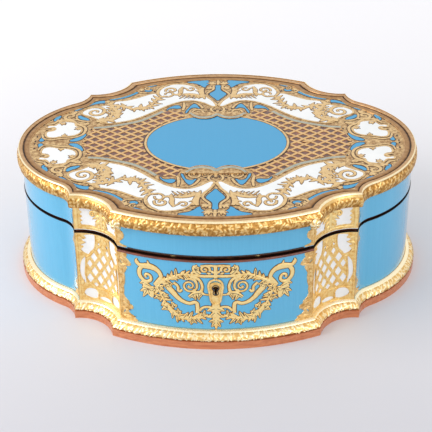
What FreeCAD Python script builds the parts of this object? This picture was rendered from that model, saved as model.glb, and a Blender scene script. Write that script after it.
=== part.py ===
import FreeCAD, Part
import math
import os

# A low serpentine jewel casket: bowed front and back, hollow corner pilasters and swelling sides.
# Frame: origin under the middle of the base board, +X along the length, +Y to the back, +Z up.
# All lengths are in millimetres.

Vector = FreeCAD.Vector
os.makedirs("parts", exist_ok=True)

overrun = 20.0             # how far a cutting tool passes the piece that it cuts
touching = 1e-6            # a point this near to an edge lies on it

# Plan of the case, at the outer face of its veneer
case_half_length = 172.0   # middle to the widest point of a side
case_half_depth = 136.0    # middle to the crown of the bowed front
corner_set_back = 92.0     # widest point of a side to the corner where the bow meets the pilaster
bow_rise = 18.0            # rise of the bow above its chord
cusp_set_back = 44.0       # crown of the bow to the cusp where a side meets the pilaster, in depth
side_sweep_deg = 59.3      # from the widest point to where the cove begins
cove_radius = 23.6         # cove between the side and the cusp
cove_sweep_deg = 53.8
pilaster_hollow = 8.5      # depth of the hollow pilaster below its chord
corner_lean_share = 0.8    # how far the corner moves in depth when the plan grows by one
bow_half_chord = case_half_length - corner_set_back
side_sweep = math.radians(side_sweep_deg)
cusp_rise = cove_radius * math.sin(math.radians(cove_sweep_deg) - side_sweep)
side_radius = (case_half_depth - cusp_set_back - cusp_rise) / math.sin(side_sweep) - cove_radius

# Case
plinth_height = 7.0
plinth_reach = 8.0
rim_height = 83.0          # top of the case above the table
veneer = 1.2
wall = 12.0
base_moulding_height = 8.2
base_moulding_reach = 8.2
base_moulding_slope = 6.5  # sloping leafy face, as wide as it is high

# Lid, drawn shut and then turned open about the hinges by lid_ajar_deg
lid_gap = 0.5              # between the shut lid and the rim
lid_rail_height = 25.0
lid_board = 7.5
lid_ajar_deg = 0.62
lid_moulding_height = 14.0
lid_moulding_rise = 3.0    # arris above the top board
lid_moulding_reach = 7.7
lid_moulding_cove = 5.0    # slope below the arris
lid_moulding_slope = 6.0   # slope of the leafy band under the edge

# Top of the lid
border_width = 10.5
border_thickness = 2.0
ground_thickness = 1.0
inlay = 0.5                # brass and white sheets on their ground
oval_frame_width = 1.6
oval_rise = 0.6
oval_shares = (0.372, 0.382)
# Outlines of the front left quarter: every second point is the middle of an arc. A share of 1 reaches to the
# corner along the length and to the cusp in depth, and a share of 2 to the wall.
scroll_panel_shares = [(1.42, 0.58), (1.12, 0.4), (0.8, 0.61), (0.43, 0.89), (0.04, 0.75), (0.19, 1.01),
                       (0.37, 1.54), (0.58, 1.48), (0.71, 1.1), (1.05, 0.92), (1.29, 0.83), (1.42, 0.72)]
end_panel_shares = [(1.79, 0.22), (1.74, 0.13), (1.61, 0.1), (1.48, 0.15), (1.46, 0.27), (1.51, 0.38),
                    (1.61, 0.41), (1.76, 0.37)]
trellis_shares = [(0.54, -0.7), (0.86, -0.44), (1.29, -0.28), (1.4, 0.0), (1.29, 0.28), (0.86, 0.44),
                  (0.54, 0.7)]
trellis_pitch_x = 22.0
trellis_pitch_y = 25.0
trellis_bar = 2.0

# Pilaster frets: a framed trellis between two open cartouches
fret_frame = 3.0
fret_columns = 2
fret_rows = 2
fret_bar = 2.0
fret_trellis_shares = (0.41, 0.82)   # low and high ends of the trellis, of the pilaster's height

# Leaf borders: width beside the pilaster against the share of the panel's height
leaf_width = 12.5
side_leaf_width = 8.0
leaf_shares = [(0.0, 1.0), (0.46, 0.34), (0.82, 0.8), (1.0, 0.4)]

# Front cartouche: straps along arcs, each from three points as shares of its half width and height
cartouche_margin = 2.5     # to the leaf borders
cartouche_head = 5.4       # below the rim
cartouche_foot = 1.4       # above the base moulding
cartouche_strap = 3.0
cartouche_arc_shares = [((0.0, 0.85), (0.42, 0.84), (0.74, 0.65)), ((0.74, 0.65), (0.72, 0.86), (0.96, 0.96)),
                        ((0.74, 0.65), (0.58, 0.24), (0.3, 0.1)), ((0.3, 0.1), (0.15, 0.14), (0.0, 0.24)),
                        ((0.63, 0.69), (0.45, 0.42), (0.22, 0.4)), ((0.22, 0.4), (0.18, 0.64), (0.3, 0.85))]

# Keyhole and escutcheon
keyhole_below_rim = 26.7   # centre of the round part
keyhole_radius = 2.4
keyhole_slot = 2.2
keyhole_drop = 6.6
escutcheon_radius = 6.4
escutcheon_drop = 13.0
escutcheon_foot_radius = 3.0
escutcheon_thickness = 1.0

# Box lock, let into the inside of the front wall
lock_cover_wood = 3.3      # wood left in front of the lock
lock_width = 38.0
lock_height = 36.0
lock_depth = 7.0
lock_sheet = 0.9
cover_flange = 4.0
key_pin_radius = 0.9
bolt_thickness = 2.6
bolt_bar_height = 5.0
bolt_bar_drop = 21.0       # top plate to the foot of the bar
bolt_reach = 25.0
bolt_travel = 3.6
bolt_play = 0.3
bolt_start = -15.5         # left end of the bar when drawn back
prong_drop = 5.0           # top plate to the top of the prongs
prong_height = 2.4
prong_length = 4.0
prong_stem = 3.2
prong_pitch = 15.0
hook_leg = 3.0
hook_foot = 3.4
hook_foot_height = 2.2
hook_slot_play = 0.7
talon_radius = 3.0
link_plate_length = 34.0
link_plate_width = 7.0
link_plate_thickness = 1.2

# Butt hinges on the back rim
hinge_spread_share = 0.475  # middle of a hinge, of the bow's half chord
hinge_length = 26.0
hinge_stand = 0.4          # barrel clear of the back's crown
knuckle_radius = 2.4
knuckle_play = 0.2
pin_radius = 1.2
pin_play = 0.03
leaf_thickness = 1.0
leaf_depth = 16.0          # axis to the leaf's inner edge

# Studs on the front rim that hold the lid a little open
stud_spread = 34.0
stud_radius = 1.5
stud_crown = 0.6           # chamfered top
stud_shank = 6.0
stud_play = 0.05

# Lining
pad_height = 9.0
pad_play = 0.4
pad_shares = [(0.0, 0.1), (0.5, 0.0), (1.0, 1.0)]
pad_draw = 9.0             # how far the pad's sides draw in below the crown
lid_pad_height = 6.0

# Levels worked out from the sizes above
moulding_top = plinth_height + base_moulding_height
keyhole_height = rim_height - keyhole_below_rim
hinge_spread = bow_half_chord * hinge_spread_share
cartouche_half_width = bow_half_chord - leaf_width - cartouche_margin
cartouche_height = rim_height - cartouche_head - cartouche_foot - moulding_top
lid_bottom = rim_height + lid_gap
rail_top = lid_bottom + lid_rail_height
board_top = rail_top + lid_board
ground_top = board_top + ground_thickness
arris = board_top + lid_moulding_rise
lid_moulding_foot = arris - lid_moulding_height
inside = -(veneer + wall)
hinge_y = case_half_depth + hinge_stand + knuckle_radius
hinge_z = rim_height + lid_gap / 2
lid_ajar = math.radians(lid_ajar_deg)
middle_share = 0.5


def save(name, shape):
    shape.exportStep("parts/" + name + ".step")


def on_lid(shape):
    """Turn a piece of the shut lid to where it stands on the studs."""
    turned = shape.copy()
    turned.rotate(Vector(0, hinge_y, hinge_z), Vector(1, 0, 0), -lid_ajar_deg)
    return turned


def block(x0, x1, y0, y1, z0, z1):
    return Part.makeBox(x1 - x0, y1 - y0, z1 - z0, Vector(x0, y0, z0))


def polar(centre, radius, degrees):
    angle = math.radians(degrees)
    return (centre[0] + radius * math.cos(angle), centre[1] + radius * math.sin(angle))


# The plan at an offset: the side stays concentric, the cove keeps its radius, and the corner and
# the cusp run out along straight mitres, so that neighbouring lengths meet on flat faces.
def corner(offset):
    return (bow_half_chord + offset, case_half_depth - bow_rise + corner_lean_share * offset)


def cove(offset, share):
    centre = polar((case_half_length - side_radius, 0), side_radius + offset + cove_radius, side_sweep_deg)
    return polar(centre, cove_radius, side_sweep_deg + 180 - cove_sweep_deg * share)


def hollow(offset):
    (ax, ay), (bx, by) = corner(offset), cove(offset, 1)
    chord = math.hypot(bx - ax, by - ay)
    dip = pilaster_hollow / chord
    return ((ax + bx) / 2 + dip * (by - ay), (ay + by) / 2 - dip * (bx - ax))


def bow_arcs(offset, back):
    cx, cy = corner(offset)
    return [((back * cx, back * cy), (0, back * (case_half_depth + offset)), (-back * cx, back * cy))]


def side_arcs(offset, right):
    points = [cove(offset, share) for share in (1, middle_share, 0)]
    first = [(right * x, -right * y) for x, y in points]
    last = [(right * x, right * y) for x, y in reversed(points)]
    nose = (right * (case_half_length + offset), 0)
    return [tuple(first), (first[2], nose, last[0]), tuple(last)]


def pilaster_arcs(offset, right, back):
    points = [(right * x, back * y) for x, y in (corner(offset), hollow(offset), cove(offset, 1))]
    return [tuple(points if right * back < 0 else reversed(points))]


corner_names = {"front_right": (1, -1), "back_right": (1, 1), "back_left": (-1, 1), "front_left": (-1, -1)}
face_names = ("front", "back", "left", "right")
around = ("front", "front_right", "right", "back_right", "back", "back_left", "left", "front_left")


def arcs(stretch, offset):
    """Arcs of one stretch of the plan, anticlockwise, each as its start, middle and end."""
    if stretch in corner_names:
        return pilaster_arcs(offset, *corner_names[stretch])
    if stretch in ("front", "back"):
        return bow_arcs(offset, 1 if stretch == "back" else -1)
    return side_arcs(offset, 1 if stretch == "right" else -1)


def arc_edge(arc, z):
    return Part.Arc(*[Vector(x, y, z) for x, y in arc]).toShape()


def line_edge(a, b, z):
    return Part.makeLine(Vector(a[0], a[1], z), Vector(b[0], b[1], z))


def strip(stretch, inner, outer, z):
    """Closed outline of one stretch between two offsets, mitred at both ends."""
    out = arcs(stretch, outer)
    back = [tuple(reversed(arc)) for arc in reversed(arcs(stretch, inner))]
    edges = [arc_edge(arc, z) for arc in out]
    edges.append(line_edge(out[-1][2], back[0][0], z))
    edges += [arc_edge(arc, z) for arc in back]
    edges.append(line_edge(back[-1][2], out[0][0], z))
    return Part.Wire(edges)


def stave(stretch, inner, outer, z0, z1):
    return Part.Face(strip(stretch, inner, outer, z0)).extrude(Vector(0, 0, z1 - z0))


def moulding(stretch, foot, height, reach, slopes):
    """One mitred length of moulding, its outer arrises worked off as slopes at its foot and its top."""
    length = stave(stretch, 0, reach, foot, foot + height)
    for z, slope in zip((foot, foot + height), slopes):
        spots = [Part.Vertex(*arc[1], z) for arc in arcs(stretch, reach)]
        arris = [edge for edge in length.Edges if min(edge.distToShape(spot)[0] for spot in spots) < touching]
        length = length.makeChamfer(slope, arris) if slope else length
    return length


def ring(offset, z):
    return Part.Wire([arc_edge(arc, z) for stretch in around for arc in arcs(stretch, offset)])


def slab(offset, z0, z1):
    return Part.Face(ring(offset, z0)).extrude(Vector(0, 0, z1 - z0))


def pad(offset, draw, z0, height):
    """Crowned pad: its sides swell a little over its foot and draw in to the crown."""
    outlines = [ring(offset - draw * inset, z0 + height * up) for up, inset in pad_shares]
    return Part.makeLoft(outlines, True, True)


def bow_depth(x, offset):
    """Depth of the bowed wall at a place along the length."""
    cx, cy = corner(offset)
    rise = case_half_depth + offset - cy
    radius = (cx * cx + rise * rise) / (2 * rise)
    return case_half_depth + offset - radius + math.sqrt(radius * radius - x * x)


def curve(points, closed=False):
    spline = Part.BSplineCurve()
    spline.interpolate(points, PeriodicFlag=closed)
    return spline


# Keyhole, bored through everything in front of the key pin
before_front = -case_half_depth - overrun
to_back = Vector(0, 1, 0)
keyhole = Part.makeCylinder(keyhole_radius, case_half_depth, Vector(0, before_front, keyhole_height), to_back)
keyhole = keyhole.fuse(block(-keyhole_slot / 2, keyhole_slot / 2, before_front, -overrun,
                             keyhole_height - keyhole_drop, keyhole_height))

# Base board and the cast moulding planted on it
save("base_board", slab(plinth_reach, 0, plinth_height))


def base_moulding(stretch):
    return moulding(stretch, plinth_height, base_moulding_height, base_moulding_reach, (0, base_moulding_slope))


for face in face_names:
    save("base_moulding_" + face, base_moulding(face))
save("base_moulding_corners", Part.makeCompound([base_moulding(name) for name in corner_names]))

# Box lock: case with its top plate, cover with the key pin, bolt
lock_front = -(case_half_depth - veneer - lock_cover_wood)
lock_back = lock_front + lock_depth
cover_back = lock_back + lock_sheet
lock_foot = rim_height - lock_height
half_lock = lock_width / 2
bolt_y = lock_front + (lock_depth + lock_sheet) / 2
bolt_front = bolt_y - bolt_thickness / 2
bolt_back = bolt_y + bolt_thickness / 2
bar_foot = rim_height - bolt_bar_drop
prong_top = rim_height - prong_drop
prong_foot = prong_top - prong_height
prong_tips = [bolt_start + prong_stem + prong_length + prong_pitch * n for n in range(2)]

lock_case = block(-half_lock, half_lock, lock_front, lock_back, lock_foot, rim_height)
lock_case = lock_case.cut(block(-half_lock + lock_sheet, half_lock - lock_sheet, lock_front + lock_sheet,
                                lock_back + overrun, lock_foot + lock_sheet, rim_height - lock_sheet))
guide_end = bolt_start + bolt_reach + bolt_travel
for x0, x1 in ((bolt_start, bolt_start + prong_stem), (guide_end - prong_stem, guide_end)):
    lock_case = lock_case.fuse(block(x0, x1, lock_front + lock_sheet, bolt_back,
                                     bar_foot - bolt_play - lock_sheet, bar_foot - bolt_play))
hook_slots = []
for tip in prong_tips:
    toe = tip + bolt_play
    hook_slots.append(block(toe - hook_slot_play, toe + hook_foot + hook_leg + hook_slot_play,
                            bolt_front - hook_slot_play, bolt_back + hook_slot_play,
                            rim_height - lock_sheet - overrun / 2, rim_height + overrun))
lock_case = lock_case.cut(hook_slots + [keyhole])

cover_reach = half_lock + cover_flange
lock_cover = block(-cover_reach, cover_reach, lock_back, cover_back, lock_foot - cover_flange, rim_height)
key_pin = Part.makeCylinder(key_pin_radius, lock_depth, Vector(0, lock_front, keyhole_height), to_back)
lock_cover = lock_cover.fuse(key_pin)
save("lock_case", lock_case)
save("lock_cover", lock_cover)

bolt = block(bolt_start, bolt_start + bolt_reach, bolt_front, bolt_back, bar_foot, bar_foot + bolt_bar_height)
for tip in prong_tips:
    stem = tip - prong_length - prong_stem
    bar_top = bar_foot + bolt_bar_height
    bolt = bolt.fuse(block(stem, stem + prong_stem, bolt_front, bolt_back, bar_top, prong_top))
    bolt = bolt.fuse(block(stem + prong_stem, tip, bolt_front, bolt_back, prong_foot, prong_top))
talon = Part.makeCylinder(talon_radius, bolt_thickness, Vector(0, bolt_front, bar_foot), to_back)
save("lock_bolt", bolt.cut(talon).removeSplitter())

# Butt hinges
knuckle_ends = [(-hinge_length / 2, -hinge_length / 4), (-hinge_length / 4, hinge_length / 4),
                (hinge_length / 4, hinge_length / 2)]


def hinge_leaf(middle, own, z0, z1):
    """Leaf let into a rim, with the knuckles that it carries on the shared pin."""
    y0 = hinge_y - leaf_depth
    leaf = block(middle - hinge_length / 2, middle + hinge_length / 2, y0,
                 hinge_y - knuckle_radius - knuckle_play, z0, z1)
    for start, end in [knuckle_ends[n] for n in own]:
        x0 = middle + start + knuckle_play / 2
        length = end - start - knuckle_play
        knuckle = Part.makeCylinder(knuckle_radius, length, Vector(x0, hinge_y, hinge_z), Vector(1, 0, 0))
        tab = block(x0, x0 + length, y0, hinge_y - (knuckle_radius + pin_radius) / 2, z0, z1)
        leaf = leaf.fuse([tab, knuckle.cut(hinge_pin(middle, pin_radius + pin_play))])
    return leaf.removeSplitter()


def hinge_pin(middle, radius):
    return Part.makeCylinder(radius, hinge_length, Vector(middle - hinge_length / 2, hinge_y, hinge_z),
                             Vector(1, 0, 0))


def leaf_pocket(middle, z0, z1):
    return block(middle - hinge_length / 2, middle + hinge_length / 2, hinge_y - leaf_depth, hinge_y + overrun,
                 z0, z1)


hinge_middles = (-hinge_spread, hinge_spread)
lower_pockets = []
upper_pockets = []
lower_leaves = []
upper_leaves = []
for middle in hinge_middles:
    lower_leaves.append(hinge_leaf(middle, (0, 2), rim_height - leaf_thickness, rim_height))
    upper_leaves.append(hinge_leaf(middle, (1,), lid_bottom, lid_bottom + leaf_thickness))
    lower_pockets.append(leaf_pocket(middle, rim_height - leaf_thickness, rim_height + overrun))
    upper_pockets.append(leaf_pocket(middle, lid_bottom - overrun, lid_bottom + leaf_thickness))
save("hinge_lower_leaves", Part.makeCompound(lower_leaves))
save("hinge_upper_leaves", on_lid(Part.makeCompound(upper_leaves)))
save("hinge_pins", Part.makeCompound([hinge_pin(middle, pin_radius) for middle in hinge_middles]))

# Studs: brass pins with chamfered heads driven into the front rim
stud_y = -bow_depth(stud_spread, inside / 2)
lid_lift = (hinge_y - stud_y) * math.sin(lid_ajar)
stud_top = lid_bottom + lid_lift - stud_play
studs = []
stud_holes = []
for x in (-stud_spread, stud_spread):
    foot = Vector(x, stud_y, rim_height - stud_shank)
    crown = Vector(x, stud_y, stud_top - stud_crown)
    pin = Part.makeCylinder(stud_radius, crown.z - foot.z, foot)
    studs.append(pin.fuse(Part.makeCone(stud_radius, stud_radius - stud_crown, stud_crown, crown)))
    stud_holes.append(pin)
save("rim_studs", Part.makeCompound(studs))

# Carcass walls, with the lock and the hinges let in, and solid corner posts
lock_pocket = block(-half_lock, half_lock, lock_front, lock_back + overrun, lock_foot, rim_height + overrun)
cover_pocket = block(-cover_reach, cover_reach, lock_back, lock_back + overrun, lock_foot - cover_flange,
                     rim_height + overrun)
wall_cuts = {"front": [lock_pocket, cover_pocket, keyhole] + stud_holes,
             "back": lower_pockets}
for face in face_names:
    carcass = stave(face, inside, -veneer, plinth_height, rim_height)
    save("carcass_" + face, carcass.cut(wall_cuts[face]) if face in wall_cuts else carcass)
save("corner_posts", Part.makeCompound(
    [stave(name, inside, -veneer, plinth_height, rim_height) for name in corner_names]))

# Blue panels and white pilasters veneered on the carcass
panel_cuts = {"front": [keyhole], "back": lower_pockets}
for face in face_names:
    panel = stave(face, -veneer, 0, plinth_height, rim_height)
    save("panel_" + face, panel.cut(panel_cuts[face]) if face in panel_cuts else panel)
save("pilaster_panels", Part.makeCompound(
    [stave(name, -veneer, 0, plinth_height, rim_height) for name in corner_names]))


# Pierced brass frets on the pilasters
def hollow_circle(right, back):
    """Centre of a pilaster's hollow, its radius, and the angles of its two ends."""
    a, m, b = [Vector(x, y, 0) for x, y in pilaster_arcs(0, right, back)[0]]
    circle = Part.Arc(a, m, b).toShape().Curve
    angles = [math.atan2(p.y - circle.Center.y, p.x - circle.Center.x) for p in (a, m, b)]
    for n in (0, 2):
        turns = round((angles[1] - angles[n]) / (2 * math.pi))
        angles[n] += 2 * math.pi * turns
    return circle.Center, circle.Radius, angles[0], angles[2]


def piercing(centre, radius, angle, z, outline):
    """Hole through the fret, from an outline in the tangent plane (along, up)."""
    out = Vector(math.cos(angle), math.sin(angle), 0)
    along = Vector(-out.y, out.x, 0)
    middle = Vector(centre.x, centre.y, z) + out * (radius - pilaster_hollow)
    points = [middle + along * s + Vector(0, 0, t) for s, t in outline]
    face = Part.Face(Part.makePolygon(points + points[:1]))
    return face.extrude(out * (2 * pilaster_hollow))


def lozenge(half_width, half_height):
    return [(-half_width, 0), (0, -half_height), (half_width, 0), (0, half_height)]


def case_fret(name):
    centre, radius, start, end = hollow_circle(*corner_names[name])
    span = abs(end - start) * radius - 2 * fret_frame
    low, high = [moulding_top + (rim_height - moulding_top) * share for share in fret_trellis_shares]
    step = span / fret_columns
    rise = (high - low) / fret_rows
    holes = []
    for row in range(2 * fret_rows - 1):
        shift = row % 2
        for column in range(fret_columns - shift):
            s = (column + (1 + shift) / 2) * step - span / 2
            angle = (start + end) / 2 + s / radius
            holes.append(piercing(centre, radius, angle, low + rise * (row + 1) / 2,
                                  lozenge((step - fret_bar) / 2, (rise - fret_bar) / 2)))
    for z0, z1 in ((moulding_top, low), (high, rim_height)):
        half_height = (z1 - z0) / 2 - fret_frame
        holes.append(piercing(centre, radius, (start + end) / 2, (z0 + z1) / 2,
                              lozenge(span / 3, half_height)))
    return stave(name, 0, inlay, moulding_top, rim_height).cut(holes)


origin = Vector(0, 0, 0)
right_fret = case_fret("front_right")
front_frets = [right_fret, right_fret.mirror(origin, Vector(1, 0, 0))]
back_frets = [fret.mirror(origin, Vector(0, 1, 0)) for fret in front_frets]
save("pilaster_frets", Part.makeCompound(front_frets + back_frets))


# Brass leaf borders on the panels, beside the pilasters
def leaf_borders(z0, z1):
    """Eight strips with a leafy edge: two on each panel, against its mitres."""
    borders = []
    for face in face_names:
        across = face in ("front", "back")
        edge = bow_half_chord if across else cove(0, 1)[1]
        width = leaf_width if across else side_leaf_width
        skin = stave(face, 0, inlay, z0, z1)
        for end in (-1, 1):
            places = [(end * (edge - width * out), z0 + (z1 - z0) * up) for up, out in leaf_shares]
            places = [(end * edge + end * overrun, z0)] + places + [(end * edge + end * overrun, z1)]
            side = 1 if face in ("back", "right") else -1
            points = [Vector(p, 0, z) if across else Vector(0, p, z) for p, z in places]
            leafy = curve(points[1:-1]).toShape()
            sides = [Part.makeLine(points[0], points[1]), Part.makeLine(points[-2], points[-1]),
                     Part.makeLine(points[-1], points[0])]
            outline = Part.Face(Part.Wire(Part.sortEdges([leafy] + sides)[0]))
            reach = side * (case_half_depth if across else case_half_length) + side * overrun
            borders.append(skin.common(outline.extrude(Vector(0, reach, 0) if across else Vector(reach, 0, 0))))
    return Part.makeCompound(borders)


save("leaf_borders", leaf_borders(moulding_top, rim_height))


# Front cartouche of brass scrolls round the keyhole escutcheon
def strap(points, width):
    """Flat band of even width along the arc through three points of the front, as a prism through the wall."""
    spots = [Vector(x, before_front, z) for x, z in points]
    circle = Part.Arc(*spots).toShape().Curve
    rails = [[circle.Center + (spot - circle.Center) * (reach / circle.Radius) for spot in spots]
             for reach in (circle.Radius - width / 2, circle.Radius + width / 2)]
    edges = [Part.Arc(*rail).toShape() for rail in rails]
    edges += [Part.makeLine(rails[0][n], rails[1][n]) for n in (0, 2)]
    return Part.Face(Part.Wire(Part.sortEdges(edges)[0])).extrude(Vector(0, case_half_depth, 0))


def escutcheon_prism():
    foot_height = keyhole_height - escutcheon_drop
    ends = [Part.makeCylinder(radius, case_half_depth, Vector(0, before_front, z), to_back)
            for radius, z in ((escutcheon_radius, keyhole_height), (escutcheon_foot_radius, foot_height))]
    waist = [(-escutcheon_radius, keyhole_height), (-escutcheon_foot_radius, foot_height),
             (escutcheon_foot_radius, foot_height), (escutcheon_radius, keyhole_height)]
    points = [Vector(x, before_front, z) for x, z in waist]
    body = Part.Face(Part.makePolygon(points + points[:1])).extrude(Vector(0, case_half_depth, 0))
    return body.fuse(ends).removeSplitter()


straps = []
for arc in cartouche_arc_shares:
    for hand in (-1, 1):
        straps.append(strap([(hand * cartouche_half_width * across,
                              moulding_top + cartouche_foot + cartouche_height * up) for across, up in arc],
                            cartouche_strap))
front_skin = stave("front", 0, inlay, moulding_top, rim_height)
cartouche = straps[0].multiFuse(straps[1:]).common(front_skin)
save("front_cartouche", cartouche.cut(escutcheon_prism()))
save("escutcheon", escutcheon_prism().common(stave("front", 0, escutcheon_thickness, moulding_top, rim_height))
     .cut(keyhole))

# Padded lining on the floor of the case
save("floor_pad", pad(inside - pad_play, pad_draw, plinth_height, pad_height))

# Lid frame: rails, corner blocks and top board
link_y0 = bolt_y - link_plate_width / 2
link_y1 = bolt_y + link_plate_width / 2
link_pocket = block(-link_plate_length / 2, link_plate_length / 2, link_y0, link_y1, lid_bottom - overrun,
                    lid_bottom + link_plate_thickness)
rail_cuts = {"front": [link_pocket], "back": upper_pockets}


def lid_moulding(stretch):
    return on_lid(moulding(stretch, lid_moulding_foot, lid_moulding_height, lid_moulding_reach,
                           (lid_moulding_slope, lid_moulding_cove)))


for face in face_names:
    rail = stave(face, inside, -veneer, lid_bottom, rail_top)
    save("lid_rail_" + face, on_lid(rail.cut(rail_cuts[face]) if face in rail_cuts else rail))
    panel = stave(face, -veneer, 0, lid_bottom, board_top)
    save("lid_panel_" + face, on_lid(panel.cut(upper_pockets) if face == "back" else panel))
    save("lid_moulding_" + face, lid_moulding(face))
save("lid_corner_blocks", on_lid(Part.makeCompound(
    [stave(name, inside, -veneer, lid_bottom, rail_top) for name in corner_names])))
save("lid_pilaster_panels", on_lid(Part.makeCompound(
    [stave(name, -veneer, 0, lid_bottom, board_top) for name in corner_names])))
save("lid_moulding_corners", Part.makeCompound([lid_moulding(name) for name in corner_names]))
save("lid_board", on_lid(slab(-veneer, rail_top, board_top)))

# Link plate: two hooks that drop into the lock and stand beside the bolt's prongs
link_plate = block(-link_plate_length / 2, link_plate_length / 2, link_y0, link_y1, lid_bottom,
                   lid_bottom + link_plate_thickness)
hook_lift = (hinge_y - bolt_y) * math.sin(lid_ajar)
hook_top = prong_foot - bolt_play - hook_lift
for tip in prong_tips:
    toe = tip + bolt_play
    heel = toe + hook_foot
    leg = block(heel, heel + hook_leg, bolt_front, bolt_back, hook_top - hook_foot_height, lid_bottom)
    foot = block(toe, heel, bolt_front, bolt_back, hook_top - hook_foot_height, hook_top)
    link_plate = link_plate.fuse([leg, foot])
save("link_plate", on_lid(link_plate.removeSplitter()))

# Padded lining under the lid's board
lid_pad = pad(inside - pad_play, pad_draw, 0, lid_pad_height)
lid_pad.rotate(origin, Vector(1, 0, 0), 180)
lid_pad.translate(Vector(0, 0, rail_top))
save("lid_lining", on_lid(lid_pad))

# Top of the lid: brass border, blue ground and the sheets inlaid on it
save("top_border", on_lid(slab(0, board_top, board_top + border_thickness).cut(
    slab(-border_width, board_top - overrun, board_top + overrun))))
save("top_ground", on_lid(slab(-border_width, board_top, ground_top)))


def along(share, near, far):
    """Place on a line by shares: 1 is its near mark and 2 its far mark."""
    reach = abs(share)
    return math.copysign(near * min(reach, 1) + (far - near) * max(reach - 1, 0), share)


def plan_points(shares, right, back):
    """Points on the ground from shares of the plan, turned over into one of the quarters."""
    cusp_depth = cove(0, 1)[1]
    return [Vector(right * along(x, bow_half_chord, case_half_length),
                   back * along(y, cusp_depth, case_half_depth), ground_top) for x, y in shares]


def arc_chain(points):
    """Arcs through the points, every second point being the middle of an arc."""
    return [Part.Arc(*points[n:n + 3]).toShape() for n in range(0, len(points) - 2, 2)]


up_inlay = Vector(0, 0, inlay)
white_faces = []
for right, back in corner_names.values():
    for shares in (scroll_panel_shares, end_panel_shares):
        points = plan_points(shares, right, back)
        white_faces.append(Part.Face(Part.Wire(arc_chain(points + points[:1]))))
save("white_panels", on_lid(Part.makeCompound([face.extrude(up_inlay) for face in white_faces])))

oval_half_length = case_half_length * oval_shares[0]
oval_half_depth = case_half_depth * oval_shares[1]
oval = Part.Ellipse(Vector(0, 0, ground_top), oval_half_length, oval_half_depth).toShape()
oval_face = Part.Face(Part.Wire(oval))
save("centre_oval", on_lid(oval_face.extrude(Vector(0, 0, oval_rise))))
oval_edge = Part.Ellipse(Vector(0, 0, ground_top), oval_half_length + oval_frame_width,
                         oval_half_depth + oval_frame_width).toShape()
oval_frame = Part.Face(Part.Wire(oval_edge))


def trellis_face(hand):
    """Trumpet-shaped field between the end of the oval and the white panels."""
    points = plan_points(trellis_shares, hand, 1)
    return Part.Face(Part.Wire(arc_chain(points) + [Part.makeLine(points[-1], points[0])])).cut(oval_frame)


def trellis_net(field):
    box = field.BoundBox
    holes = []
    columns = math.ceil((box.XMax - box.XMin) / trellis_pitch_x)
    rows = math.ceil(box.YMax / trellis_pitch_y)
    for column in range(2 * columns + 1):
        for row in range(-rows, rows + 1):
            x = box.XMin + column * trellis_pitch_x / 2
            y = (row + (column % 2) / 2) * trellis_pitch_y
            points = [Vector(x + dx, y + dy, ground_top) for dx, dy in
                      lozenge((trellis_pitch_x - trellis_bar) / 2, (trellis_pitch_y - trellis_bar) / 2)]
            hole = Part.Face(Part.makePolygon(points + points[:1]))
            if hole.common(field).Area > hole.Area - trellis_bar:
                holes.append(hole)
    return field.cut(holes)


trellis_fields = [trellis_face(hand) for hand in (1, -1)]
tortoise = ground_thickness / 4
lift = Vector(0, 0, tortoise)
save("trellis_panels", on_lid(Part.makeCompound([field.extrude(lift) for field in trellis_fields])))
nets = []
for field in trellis_fields:
    net = trellis_net(field)
    net.translate(lift)
    nets.append(net.extrude(up_inlay - lift))
save("trellis_nets", on_lid(Part.makeCompound(nets)))

# Brass frame round the oval
save("oval_frame", on_lid(oval_frame.cut(oval_face).extrude(up_inlay)))
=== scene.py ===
import math

import bpy
import numpy as np
from mathutils import Matrix


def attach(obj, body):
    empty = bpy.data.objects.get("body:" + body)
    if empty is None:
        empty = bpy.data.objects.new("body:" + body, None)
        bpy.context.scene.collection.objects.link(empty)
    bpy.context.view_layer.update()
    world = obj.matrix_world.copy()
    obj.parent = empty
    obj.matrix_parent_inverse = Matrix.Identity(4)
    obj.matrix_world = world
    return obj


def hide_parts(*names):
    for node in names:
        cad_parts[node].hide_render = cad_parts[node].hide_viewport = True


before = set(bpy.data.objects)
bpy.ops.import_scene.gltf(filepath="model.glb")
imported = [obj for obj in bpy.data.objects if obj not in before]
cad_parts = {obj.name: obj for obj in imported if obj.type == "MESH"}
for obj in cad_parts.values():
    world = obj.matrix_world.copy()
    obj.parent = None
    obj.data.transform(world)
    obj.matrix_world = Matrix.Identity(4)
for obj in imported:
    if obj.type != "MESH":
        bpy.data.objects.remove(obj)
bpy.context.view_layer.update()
MM = 0.001

# Base board: a mahogany plinth sawn to the serpentine plan, its moulded edge French polished.
# It shows as a red-brown line under the gilt moulding. Its CAD solid is right and only gets its wood.


def linear(code):
    """Linear colour, with alpha, of an sRGB hex value."""
    parts = [int(code[n:n + 2], 16) / 255 for n in (1, 3, 5)]
    return [*[c / 12.92 if c <= 0.04045 else ((c + 0.055) / 1.055) ** 2.4 for c in parts], 1.0]


def add(tree, kind, settings, links):
    """A node with its settings, its named inputs linked from other nodes' outputs."""
    node = tree.nodes.new(kind)
    for key, value in settings.items():
        if key == "ramp":
            stops = node.color_ramp.elements
            while len(stops) < len(value):
                stops.new(1.0)
            for stop, (place, code) in zip(stops, value):
                stop.position = place
                stop.color = linear(code)
        elif isinstance(key, int) or key in node.inputs:
            node.inputs[key].default_value = value
        else:
            setattr(node, key, value)
    for socket, source in links.items():
        tree.links.new(source, node.inputs[socket])
    return node


def finish(name, **look):
    """A new material with plain values on its shader's own sockets."""
    material = bpy.data.materials.new(name)
    material.use_nodes = True
    shader = material.node_tree.nodes["Principled BSDF"]
    for socket, value in look.items():
        shader.inputs[socket.replace("_", " ")].default_value = value
    return material, material.node_tree, shader


def dress(material, *nodes):
    """Give CAD nodes a material."""
    for node in nodes:
        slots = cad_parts[node].data.materials
        slots.clear()
        slots.append(material)


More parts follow.
